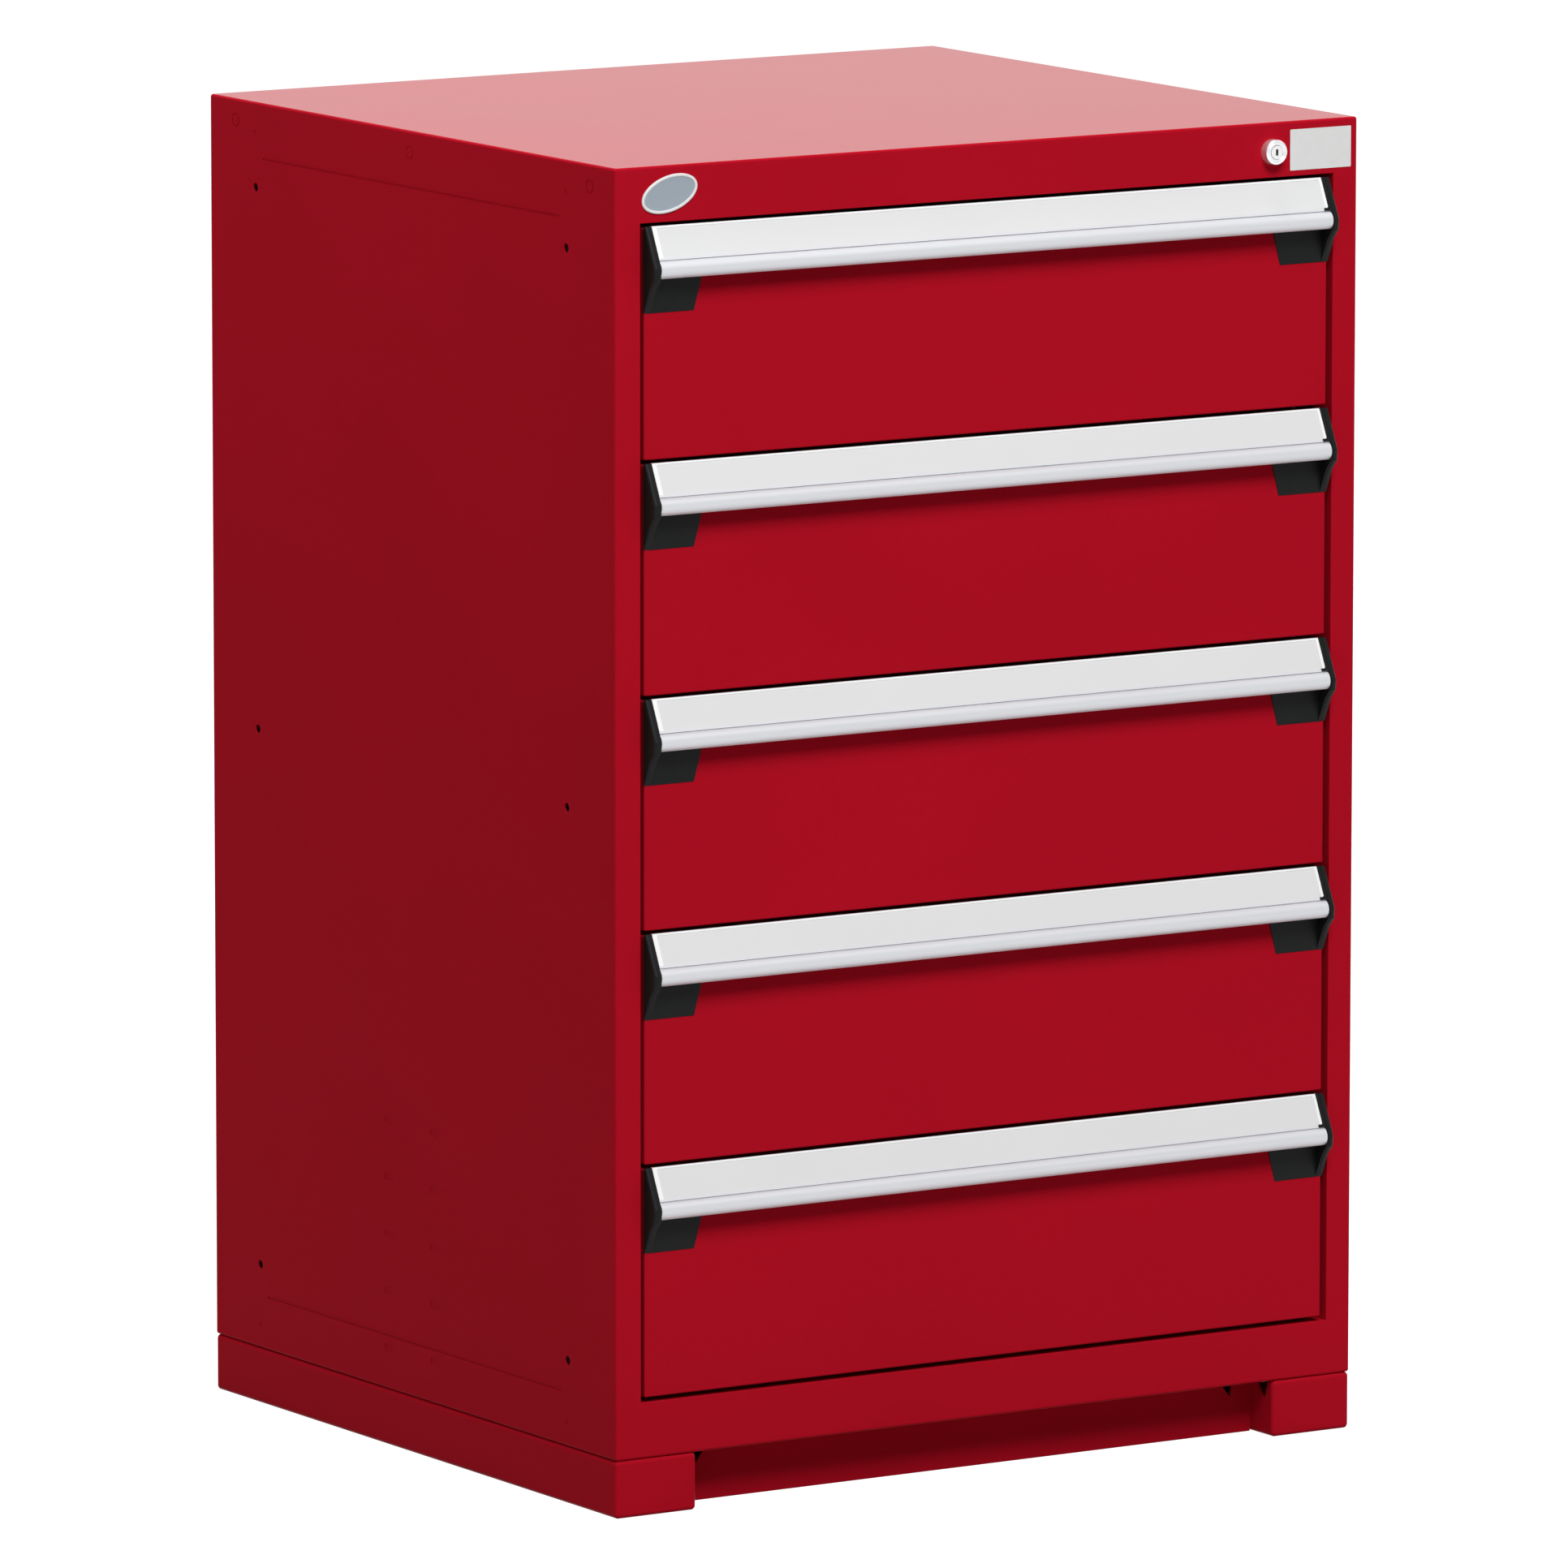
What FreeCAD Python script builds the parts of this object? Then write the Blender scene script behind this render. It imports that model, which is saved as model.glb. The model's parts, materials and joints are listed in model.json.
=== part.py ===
import FreeCAD, Part

import math
import os

# A steel drawer cabinet: a sheet housing on a low base, five drawers on roller slides, and one lock.
# Millimetres. x runs to the right, y to the back and z up. The origin is on the floor, under the
# middle of the whole cabinet. "Behind" always means behind the front face of the housing.

# Housing
HOUSING_WIDTH = 762.0
HOUSING_DEPTH = 685.8
SHEET = 1.5
CORNER_RADIUS = 2.5
OPENING_EDGE_RADIUS = 0.7
STILE_WIDTH = 25.2
STILE_RETURN = 30.0
TOP_RAIL_HEIGHT = 48.4
BOTTOM_RAIL_HEIGHT = 48.9
RAIL_RETURN = 20.0
REAR_FLANGE = 20.0

# Base
BASE_HEIGHT = 50.8
BASE_SHEET = 2.0
BASE_CORNER_RADIUS = 4.0
FOOT_WIDTH = 81.4
KICK_RECESS = 36.5
KICK_FLANGE = 20.0
BASE_LIP = 14.0
BASE_PAD = 70.0
ANCHOR_HOLE = 13.0
ANCHOR_SETBACK = 40.0
ACCESS_HOLE = 26.0
NOTCH_WIDTH = 16.0
NOTCH_HEIGHT = 16.5
NOTCH_SETBACK = 17.6
WALL_NOTCH_START = 8.5
WALL_NOTCH_LENGTH = 20.0
BOLT_DIAMETER = 10.0
BOLT_HEAD_WIDTH = 16.0
BOLT_HEAD_HEIGHT = 6.4
BOLT_SETBACK = 150.0
BOLT_CLEARANCE = 0.5

# Drawers
DRAWER_COUNT = 5
DRAWER_PITCH = 203.2
DRAWER_GAP = 2.7
BOTTOM_GAP = 4.3
SIDE_GAP = 5.0
FRONT_SHIFT = -1.4
DRAWER_TRAVEL = 610.0
FRONT_DEPTH = 20.0
FRONT_EDGE_RADIUS = 1.5
FRONT_SIDE_LIP = 12.0
FRONT_LIP_LAP = 6.0
TRAY_RISE = 8.0
TRAY_HEIGHT = 170.0
TRAY_DEPTH = 612.0
TRAY_SHEET = 1.2
TRAY_RIM_HEIGHT = 8.0
TRAY_RIM_WIDTH = 3.0
PARTITION_PITCH = 25.4
PARTITION_SLOT_WIDTH = 3.0
PARTITION_SLOT_HEIGHT = 16.0
PARTITION_SLOT_RISE = 24.0
PARTITION_ROW_SPACING = 100.0
PARTITION_ROWS = 2

# Handle, whose face slopes out and down from the top of the drawer front to a rounded lip
HANDLE_PROJECTION = 19.0
HANDLE_FACE_OUT = 14.4
HANDLE_FACE_DROP = 28.0
HANDLE_HEIGHT = 43.9
HANDLE_COVER = 1.2
HANDLE_TOP_EDGE = 1.2
HANDLE_WALL = 2.2
HANDLE_GROOVE = 1.2
HANDLE_FLANGE_DROP = 34.0
LIP_BULGE_DROP = 36.8
LABEL_POCKET = 0.8
LABEL_THICKNESS = 0.6
LABEL_MARGIN = 1.8
LABEL_END_MARGIN = 4.8
CAP_THICKNESS = 6.2
CAP_HEIGHT = 74.5
CAP_KNEE_DROP = 53.0
CAP_KNEE_OUT = 11.3
CAP_OVERHANG = 0.8
CAP_BLOCK_DROP = 42.0
CAP_BLOCK_TOP_OUT = 1.5
CAP_BLOCK_FOOT_OUT = 0.4
CAP_BLOCK_TOP_WIDTH = 57.9
CAP_BLOCK_FOOT_WIDTH = 49.7

# Slides
RAIL_SHEET = 2.0
RAIL_CHANNEL_HEIGHT = 30.0
RAIL_FLANGE = 18.0
RAIL_RISE = 60.0
RAIL_INSET = 6.0
CABINET_RAIL_SETBACK = 50.0
CABINET_RAIL_OVERHANG = 26.0
CARRIAGE_PLATE = 3.0
CARRIAGE_GAP = 4.0
CARRIAGE_HEIGHT = 28.0
CARRIAGE_OVERHANG = 14.0
ROLLER_WIDTH = 13.0
ROLLER_CLEARANCE = 0.4
ROLLER_HUB = 12.0
ROLLER_INSET = 1.5
ROLLER_MARGIN = 15.0
ROLLER_GROOVE = 0.8
BUMPER_DIAMETER = 12.0
BUMPER_CLEARANCE = 0.5

# Slotted uprights, which the cabinet rails hook into
UPRIGHT_WIDTH = 40.0
UPRIGHT_SHEET = 2.0
UPRIGHT_SETBACK = 80.0
UPRIGHT_SPACING = 526.0
SLOTS_PER_DRAWER = 8
HOOK_SLOT_WIDTH = 5.0
HOOK_SLOT_HEIGHT = 14.0
HOOK_CLEARANCE = 0.8
HOOK_HEIGHT = 8.0

# Marks and holes in the side panels
GANG_HOLE = 8.0
GANG_ROW_SPACING = 483.2
SEAM_SLOT_WIDTH = 2.0
SEAM_SLOT_START = 91.0
SEAM_SLOT_LENGTH = 502.0
MARK_DEPTH = 0.5
RING_DIAMETER = 12.0
RING_GROOVE = 1.0
RING_DROP = 19.0
RING_SETBACK = 41.5
RING_SPACING = 299.5
RING_COUNT = 3
SPOT_DIAMETER = 5.0
SPOT_DROP = 27.0
SPOT_RISE = 21.2
KNOCKOUT_LENGTH = 13.0
KNOCKOUT_HEIGHT = 6.0
KNOCKOUT_SETBACK = 304.0
KNOCKOUT_COLUMN_SPACING = 77.7
KNOCKOUT_RISE = 36.8
KNOCKOUT_ROW_PITCH = 50.8
KNOCKOUT_ROWS = 5
KNOCKOUT_COLUMNS = 2

# Lock
LOCK_INSET = 90.6
LOCK_RISE = 23.0
BARREL_HEAD = 22.0
BARREL_PROJECTION = 9.2
BARREL_CHAMFER = 1.2
BARREL_BODY = 19.0
BARREL_LENGTH = 24.0
BARREL_CLEARANCE = 0.3
NUT_WIDTH = 26.0
NUT_HEIGHT = 5.0
PLUG_DIAMETER = 12.0
PLUG_CLEARANCE = 0.3
PLUG_RECESS = 0.4
PLUG_TAIL = 4.0
KEYWAY_WIDTH = 2.4
KEYWAY_HEIGHT = 5.6
KEYWAY_DEPTH = 9.0
CAM_THICKNESS = 2.5
CAM_HUB = 18.0
CAM_PIN = 5.0
CAM_PIN_RADIUS = 8.5
CAM_PIN_OVERHANG = 2.0
CAM_REST_ANGLE = -45.0
CAM_TURN = 90.0
CAM_GAP = 3.5
PIN_CLEARANCE = 0.7
BAR_THICKNESS = 3.0
BAR_WIDTH = 12.0
BAR_OFFSET = 1.5
BAR_FOOT = 12.0
ARM_HEIGHT = 15.0
FINGER_THICKNESS = 5.0
FINGER_HEIGHT = 8.0
FINGER_GAP = 1.0
FINGER_REACH = 13.5
CATCH_RISE = 120.0
CATCH_HEIGHT = 25.0
CATCH_SHEET = 2.0
CATCH_LENGTH = 26.0
CATCH_GAP = 4.0
CATCH_SPARE = 2.0
GUIDE_HEIGHT = 8.0
GUIDE_WALL = 2.0
GUIDE_CLEARANCE = 0.5
GUIDE_RISE = 30.0
GUIDE_STEP = 2

# Badge, a plain oval plate
BADGE_LENGTH = 57.0
BADGE_HEIGHT = 31.0
BADGE_THICKNESS = 1.4
BADGE_RIM = 3.0
BADGE_RIM_DEPTH = 0.6
BADGE_TILT = 16.0
BADGE_INSET = 54.0
BADGE_RISE = 24.2

CUT_MARGIN = 1.0

# Places that follow from the sizes above
HALF_WIDTH = HOUSING_WIDTH / 2
OPENING_HALF = HALF_WIDTH - STILE_WIDTH
OPENING_BOTTOM = BASE_HEIGHT + BOTTOM_RAIL_HEIGHT
OPENING_TOP = OPENING_BOTTOM + BOTTOM_GAP + DRAWER_COUNT * DRAWER_PITCH
HOUSING_TOP = OPENING_TOP + TOP_RAIL_HEIGHT
FRONT_Y = HANDLE_PROJECTION - (HOUSING_DEPTH + HANDLE_PROJECTION) / 2
FRONT_HALF = OPENING_HALF - SIDE_GAP
FRONT_HEIGHT = DRAWER_PITCH - DRAWER_GAP
FOOT_INNER = HALF_WIDTH - FOOT_WIDTH
FOOT_CENTRE = HALF_WIDTH - FOOT_WIDTH / 2
UPRIGHT_PLACES = [UPRIGHT_SETBACK, UPRIGHT_SETBACK + UPRIGHT_SPACING]

# The slide's pieces, from the upright inwards
CABINET_FLANGE_EDGE = OPENING_HALF - RAIL_FLANGE
PLATE_OUTER = CABINET_FLANGE_EDGE - CARRIAGE_GAP
PLATE_INNER = PLATE_OUTER - CARRIAGE_PLATE
DRAWER_FLANGE_EDGE = PLATE_INNER - CARRIAGE_GAP
TRAY_HALF = DRAWER_FLANGE_EDGE - RAIL_FLANGE

# The slide's pieces, from front to back
TRAY_BACK = FRONT_DEPTH + TRAY_DEPTH
DRAWER_RAIL_FRONT = FRONT_DEPTH + RAIL_INSET
DRAWER_RAIL_BACK = TRAY_BACK - RAIL_INSET
CABINET_RAIL_BACK = DRAWER_RAIL_BACK + CABINET_RAIL_OVERHANG
CARRIAGE_BACK = DRAWER_RAIL_BACK + CARRIAGE_OVERHANG
OUTER_ROLLERS = [CABINET_RAIL_SETBACK + DRAWER_TRAVEL / 2 + ROLLER_MARGIN, CARRIAGE_BACK - ROLLER_MARGIN]
INNER_ROLLERS = [CABINET_RAIL_SETBACK + ROLLER_MARGIN, DRAWER_RAIL_BACK - DRAWER_TRAVEL / 2 - ROLLER_MARGIN]
ROLLER_DIAMETER = RAIL_CHANNEL_HEIGHT - 2 * ROLLER_CLEARANCE

# The lock bar stands behind the right stile, and its arm meets the cam pin behind the top rail
LOCK_X = HALF_WIDTH - LOCK_INSET
LOCK_Z = OPENING_TOP + LOCK_RISE
PIN_REST_X = LOCK_X + CAM_PIN_RADIUS * math.cos(math.radians(CAM_REST_ANGLE))
PIN_REST_Z = LOCK_Z + CAM_PIN_RADIUS * math.sin(math.radians(CAM_REST_ANGLE))
CAM_BACK = BARREL_LENGTH + PLUG_TAIL + CAM_THICKNESS
ARM_FRONT = CAM_BACK + CAM_GAP
BAR_INNER = OPENING_HALF + BAR_OFFSET
BAR_OUTER = BAR_INNER + BAR_THICKNESS
BAR_FRONT = ARM_FRONT - BAR_OFFSET
BAR_BACK = BAR_FRONT + BAR_WIDTH


def behind(distance):
    """The y of a place this far behind the front face of the housing."""
    return FRONT_Y + distance


def box(x0, x1, y0, y1, z0, z1):
    return Part.makeBox(x1 - x0, y1 - y0, z1 - z0, FreeCAD.Vector(x0, y0, z0))


def across(x0, y, z, radius, length):
    """A round bar along x."""
    return Part.makeCylinder(radius, length, FreeCAD.Vector(x0, y, z), FreeCAD.Vector(1, 0, 0))


def inward(x, y0, z, radius, length):
    """A round bar along y, from front to back."""
    return Part.makeCylinder(radius, length, FreeCAD.Vector(x, y0, z), FreeCAD.Vector(0, 1, 0))


def upward(x, y, z0, radius, length):
    """A round bar along z."""
    return Part.makeCylinder(radius, length, FreeCAD.Vector(x, y, z0))


def extrude(points, direction):
    """A prism on a closed outline of straight sides."""
    outline = Part.makePolygon(points + [points[0]])
    return Part.Face(outline).extrude(direction)


def hexagon(centre, width, direction, height):
    """A six-sided prism, as a bolt head or a nut."""
    axis = FreeCAD.Vector(direction)
    side = FreeCAD.Vector(0, 0, 1) if abs(axis.y) > abs(axis.z) else FreeCAD.Vector(1, 0, 0)
    corner = side * (width / 2 / math.cos(math.pi / 6))
    points = [centre + FreeCAD.Rotation(axis, 60 * turn).multVec(corner) for turn in range(6)]
    return extrude(points, axis * height)


def mirrored(shape):
    """The same piece on the other side of the cabinet."""
    return shape.mirror(FreeCAD.Vector(0, 0, 0), FreeCAD.Vector(1, 0, 0))


def both_sides(shapes):
    return [mirrored(shape) for shape in shapes] + shapes


def cut_all(shape, tools):
    return shape.cut(Part.makeCompound(tools))


def join(first, others):
    return first.fuse(others).removeSplitter() if others else first


def divided(shape, zones):
    """The plates of a folded sheet: what lies in each zone in turn, then what is left."""
    plates = []
    for zone in zones:
        plates.append(shape.common(zone))
        shape = shape.cut(zone)
    return plates + [shape]


def folded_plates(panel):
    """The plates of a panel of the housing, divided where its folds start."""
    far = HOUSING_WIDTH + HOUSING_DEPTH + HOUSING_TOP
    side = HALF_WIDTH - CORNER_RADIUS
    return divided(panel, [box(-far, far, -far, far, -far, BASE_HEIGHT + CORNER_RADIUS),
                           box(-far, far, -far, far, HOUSING_TOP - CORNER_RADIUS, far),
                           box(-far, far, -far, behind(CORNER_RADIUS), -far, far),
                           box(-far, far, behind(HOUSING_DEPTH - CORNER_RADIUS), far, -far, far),
                           box(-far, -side, -far, far, -far, far),
                           box(side, far, -far, far, -far, far)])


def save(name, solids):
    """Write one sub-part, which may be a group of like pieces, under its own name."""
    pieces = [solid for shape in solids for solid in shape.Solids]
    shape = pieces[0] if len(pieces) == 1 else Part.makeCompound(pieces)
    shape.exportStep(os.path.join("parts", name + ".step"))


def drawer_bottom(index):
    return OPENING_BOTTOM + BOTTOM_GAP + index * DRAWER_PITCH


def drawer_top(index):
    return drawer_bottom(index) + FRONT_HEIGHT


def slide_centre(index):
    return drawer_bottom(index) + TRAY_RISE + RAIL_RISE


def housing_shell():
    """The whole sheet housing, open at the front, before it is divided into its panels."""
    back = behind(HOUSING_DEPTH)
    outside = box(-HALF_WIDTH, HALF_WIDTH, FRONT_Y, back, BASE_HEIGHT, HOUSING_TOP)
    outside = outside.makeFillet(CORNER_RADIUS, outside.Edges)
    inside = box(-HALF_WIDTH + SHEET, HALF_WIDTH - SHEET, FRONT_Y + SHEET, back - SHEET,
                 BASE_HEIGHT + SHEET, HOUSING_TOP - SHEET)
    opening = box(-OPENING_HALF, OPENING_HALF, behind(-CUT_MARGIN), behind(SHEET + CUT_MARGIN),
                  OPENING_BOTTOM, OPENING_TOP)
    shell = outside.cut(inside).cut(opening)
    return shell.makeFillet(OPENING_EDGE_RADIUS, opening_edges(shell))


def opening_edges(shell):
    """The four edges where the front face meets the drawer opening."""
    found = []
    for edge in shell.Edges:
        corners = [vertex.Point for vertex in edge.Vertexes]
        on_front = all(abs(point.y - FRONT_Y) < OPENING_EDGE_RADIUS for point in corners)
        at_opening = all(abs(abs(point.x) - OPENING_HALF) < OPENING_EDGE_RADIUS for point in corners)
        if on_front and at_opening and len(corners) == 2:
            found.append(edge)
    return found


def ring_mark(setback, z):
    """A shallow round groove in the outside of the left panel."""
    outer = across(-HALF_WIDTH, behind(setback), z, RING_DIAMETER / 2, MARK_DEPTH)
    return outer.cut(across(-HALF_WIDTH, behind(setback), z, RING_DIAMETER / 2 - RING_GROOVE, MARK_DEPTH))


def side_marks():
    """The holes, seam slots and shallow marks in the left panel."""
    tools = []
    middle = (BASE_HEIGHT + HOUSING_TOP) / 2
    through = SHEET + 2 * CUT_MARGIN
    for setback in UPRIGHT_PLACES:
        for row in (-1, 0, 1):
            z = middle + row * GANG_ROW_SPACING
            tools.append(across(-HALF_WIDTH - CUT_MARGIN, behind(setback), z, GANG_HOLE / 2, through))
        for z in (HOUSING_TOP - SPOT_DROP, BASE_HEIGHT + SPOT_RISE):
            tools.append(across(-HALF_WIDTH, behind(setback), z, SPOT_DIAMETER / 2, MARK_DEPTH))
    for z in (OPENING_BOTTOM, OPENING_TOP):
        tools.append(box(-HALF_WIDTH, -HALF_WIDTH + MARK_DEPTH,
                         behind(SEAM_SLOT_START), behind(SEAM_SLOT_START + SEAM_SLOT_LENGTH),
                         z - SEAM_SLOT_WIDTH, z))
    for place in range(RING_COUNT):
        tools.append(ring_mark(RING_SETBACK + place * RING_SPACING, HOUSING_TOP - RING_DROP))
    for column in range(KNOCKOUT_COLUMNS):
        centre = KNOCKOUT_SETBACK + column * KNOCKOUT_COLUMN_SPACING
        for row in range(KNOCKOUT_ROWS):
            z = BASE_HEIGHT + KNOCKOUT_RISE + row * KNOCKOUT_ROW_PITCH
            tools.append(box(-HALF_WIDTH, -HALF_WIDTH + MARK_DEPTH,
                             behind(centre - KNOCKOUT_LENGTH / 2), behind(centre + KNOCKOUT_LENGTH / 2),
                             z - KNOCKOUT_HEIGHT / 2, z + KNOCKOUT_HEIGHT / 2))
    return tools


def side_panel(shell):
    """The left panel with its front stile, the stile's return and narrow bent flanges."""
    panel = shell.common(box(-HALF_WIDTH, -OPENING_HALF, FRONT_Y, behind(HOUSING_DEPTH),
                             BASE_HEIGHT, HOUSING_TOP))
    stile_return = box(-OPENING_HALF - SHEET, -OPENING_HALF, behind(SHEET), behind(STILE_RETURN),
                       BASE_HEIGHT + SHEET, HOUSING_TOP - SHEET)
    return cut_all(join(panel, [stile_return]), side_marks())


def top_panel(shell):
    """The top with the top rail of the front and the rail's return."""
    panel = shell.common(box(-OPENING_HALF, OPENING_HALF, FRONT_Y, behind(HOUSING_DEPTH - REAR_FLANGE),
                             OPENING_TOP, HOUSING_TOP))
    rail_return = box(-OPENING_HALF, OPENING_HALF, behind(SHEET), behind(RAIL_RETURN),
                      OPENING_TOP, OPENING_TOP + SHEET)
    hole_radius = BARREL_BODY / 2 + BARREL_CLEARANCE
    hole = inward(LOCK_X, behind(-CUT_MARGIN), LOCK_Z, hole_radius, SHEET + 2 * CUT_MARGIN)
    return join(panel, [rail_return]).cut(hole)


def bottom_panel(shell):
    """The bottom with the bottom rail of the front and the rail's return."""
    panel = shell.common(box(-OPENING_HALF, OPENING_HALF, FRONT_Y, behind(HOUSING_DEPTH - REAR_FLANGE),
                             BASE_HEIGHT, OPENING_BOTTOM))
    rail_return = box(-OPENING_HALF, OPENING_HALF, behind(SHEET), behind(RAIL_RETURN),
                      OPENING_BOTTOM - SHEET, OPENING_BOTTOM)
    below = BASE_HEIGHT - CUT_MARGIN
    through = SHEET + 2 * CUT_MARGIN
    bolt_radius = BOLT_DIAMETER / 2 + BOLT_CLEARANCE
    holes = [upward(x, behind(setback), below, bolt_radius, through) for x, setback in bolt_places()]
    holes += [upward(x, behind(setback), below, ACCESS_HOLE / 2, through) for x, setback in anchor_places()]
    return cut_all(join(panel, [rail_return]), holes)


def back_panel(shell):
    """The back with a narrow flange along its top and bottom."""
    start = behind(HOUSING_DEPTH - REAR_FLANGE)
    end = behind(HOUSING_DEPTH)
    low_fold = BASE_HEIGHT + CORNER_RADIUS
    high_fold = HOUSING_TOP - CORNER_RADIUS
    return [shell.common(box(-OPENING_HALF, OPENING_HALF, start, end, BASE_HEIGHT, low_fold)),
            shell.common(box(-OPENING_HALF, OPENING_HALF, start, end, high_fold, HOUSING_TOP)),
            shell.common(box(-OPENING_HALF, OPENING_HALF, start, end, low_fold, high_fold))]


def upright(setback):
    """A slotted channel on the left side, from the housing's floor to its top: a web and two walls."""
    y0 = behind(setback - UPRIGHT_WIDTH / 2)
    y1 = behind(setback + UPRIGHT_WIDTH / 2)
    low = BASE_HEIGHT + SHEET
    high = HOUSING_TOP - SHEET
    outer = -HALF_WIDTH + SHEET
    web_start = -OPENING_HALF - UPRIGHT_SHEET
    slots = []
    for index in range(DRAWER_COUNT):
        for step in range(SLOTS_PER_DRAWER):
            z = slide_centre(index) + (step - 0.5) * DRAWER_PITCH / SLOTS_PER_DRAWER
            slots.append(box(web_start - CUT_MARGIN, -OPENING_HALF + CUT_MARGIN,
                             behind(setback - HOOK_SLOT_WIDTH / 2), behind(setback + HOOK_SLOT_WIDTH / 2),
                             z - HOOK_SLOT_HEIGHT / 2, z + HOOK_SLOT_HEIGHT / 2))
    web = cut_all(box(web_start, -OPENING_HALF, y0, y1, low, high), slots)
    return [web, box(outer, web_start, y0, y0 + UPRIGHT_SHEET, low, high),
            box(outer, web_start, y1 - UPRIGHT_SHEET, y1, low, high)]


def anchor_places():
    return [(side * FOOT_CENTRE, setback) for side in (-1, 1)
            for setback in (ANCHOR_SETBACK, HOUSING_DEPTH - ANCHOR_SETBACK)]


def bolt_places():
    return [(side * FOOT_CENTRE, setback) for side in (-1, 1)
            for setback in (BOLT_SETBACK, HOUSING_DEPTH - BOLT_SETBACK)]


def base_channel():
    """The left side of the base: a closed channel, open below, whose front end is a foot."""
    back = behind(HOUSING_DEPTH)
    outside = box(-HALF_WIDTH, -FOOT_INNER, FRONT_Y, back, 0, BASE_HEIGHT)
    outside = outside.makeFillet(BASE_CORNER_RADIUS, outside.Edges)
    inside = box(-HALF_WIDTH + BASE_SHEET, -FOOT_INNER - BASE_SHEET, FRONT_Y + BASE_SHEET, back - BASE_SHEET,
                 BASE_SHEET, BASE_HEIGHT - BASE_SHEET)
    window = box(-HALF_WIDTH + BASE_LIP, -FOOT_INNER - BASE_LIP, behind(BASE_PAD), back - BASE_PAD,
                 -CUT_MARGIN, BASE_SHEET + CUT_MARGIN)
    through = BASE_SHEET + 2 * CUT_MARGIN
    top = BASE_HEIGHT - BASE_SHEET - CUT_MARGIN
    tools = [inside, window, wall_notch()]
    for x, setback in anchor_places():
        tools.append(upward(x, behind(setback), -CUT_MARGIN, ANCHOR_HOLE / 2, through))
        tools.append(upward(x, behind(setback), top, ACCESS_HOLE / 2, through))
    for x, setback in bolt_places():
        tools.append(upward(x, behind(setback), top, BOLT_DIAMETER / 2 + BOLT_CLEARANCE, through))
    shape = outside
    for tool in tools:
        shape = shape.cut(tool)
    outer_wall = -HALF_WIDTH + BASE_SHEET
    inner_wall = -FOOT_INNER - BASE_SHEET
    roof = BASE_HEIGHT - BASE_SHEET
    return divided(shape, [box(-HALF_WIDTH, outer_wall, FRONT_Y, back, 0, BASE_HEIGHT),
                           box(inner_wall, -FOOT_INNER, FRONT_Y, back, 0, BASE_HEIGHT),
                           box(outer_wall, inner_wall, FRONT_Y, back, roof, BASE_HEIGHT),
                           box(outer_wall, inner_wall, FRONT_Y, behind(BASE_SHEET), 0, roof),
                           box(outer_wall, inner_wall, back - BASE_SHEET, back, 0, roof),
                           box(outer_wall, inner_wall, FRONT_Y, behind(BASE_PAD), 0, roof),
                           box(outer_wall, inner_wall, back - BASE_PAD, back, 0, roof)])


def wall_notch():
    """The relief notch in the inner wall of the left foot, near its front."""
    x = -FOOT_INNER - BASE_SHEET - CUT_MARGIN
    top = BASE_HEIGHT - BASE_SHEET
    points = [FreeCAD.Vector(x, behind(WALL_NOTCH_START), top),
              FreeCAD.Vector(x, behind(WALL_NOTCH_START + WALL_NOTCH_LENGTH), top),
              FreeCAD.Vector(x, behind(WALL_NOTCH_START + WALL_NOTCH_LENGTH / 4), top - NOTCH_HEIGHT)]
    return extrude(points, FreeCAD.Vector(BASE_SHEET + 2 * CUT_MARGIN, 0, 0))


def kick_notch():
    """The relief notch in the kick plate, near its left end."""
    x = -FOOT_INNER + NOTCH_SETBACK
    y = behind(KICK_RECESS - CUT_MARGIN)
    top = BASE_HEIGHT - BASE_SHEET
    points = [FreeCAD.Vector(x, y, top),
              FreeCAD.Vector(x + NOTCH_WIDTH, y, top),
              FreeCAD.Vector(x + NOTCH_WIDTH / 4, y, top - NOTCH_HEIGHT)]
    return extrude(points, FreeCAD.Vector(0, BASE_SHEET + 2 * CUT_MARGIN, 0))


def cross_channel(front, back, wall_front):
    """A channel across the base, with its wall at one setback and its flanges between two."""
    wall = box(-FOOT_INNER, FOOT_INNER, behind(wall_front), behind(wall_front + BASE_SHEET), 0, BASE_HEIGHT)
    flanges = []
    for z in (0, BASE_HEIGHT - BASE_SHEET):
        flanges.append(box(-FOOT_INNER, FOOT_INNER, behind(front), behind(back), z, z + BASE_SHEET))
    return join(wall, flanges)


def kick_plate():
    plate = cross_channel(KICK_RECESS, KICK_RECESS + KICK_FLANGE, KICK_RECESS)
    return cut_all(plate, [kick_notch(), mirrored(kick_notch())])


def base_rear_channel():
    back = HOUSING_DEPTH - BASE_CORNER_RADIUS
    return cross_channel(back - KICK_FLANGE, back, back - BASE_SHEET)


def base_bolts():
    """Four bolts, each with its nut, that hold the housing on the base."""
    pieces = []
    up = FreeCAD.Vector(0, 0, 1)
    head_z = BASE_HEIGHT + SHEET
    nut_z = BASE_HEIGHT - BASE_SHEET - BOLT_HEAD_HEIGHT
    for x, setback in bolt_places():
        head = hexagon(FreeCAD.Vector(x, behind(setback), head_z), BOLT_HEAD_WIDTH, up, BOLT_HEAD_HEIGHT)
        nut = hexagon(FreeCAD.Vector(x, behind(setback), nut_z), BOLT_HEAD_WIDTH, up, BOLT_HEAD_HEIGHT)
        shank_z = nut_z - BOLT_CLEARANCE
        shank = upward(x, behind(setback), shank_z, BOLT_DIAMETER / 2, head_z - shank_z)
        pieces += [head.fuse(shank), nut.cut(shank)]
    return pieces


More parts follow.
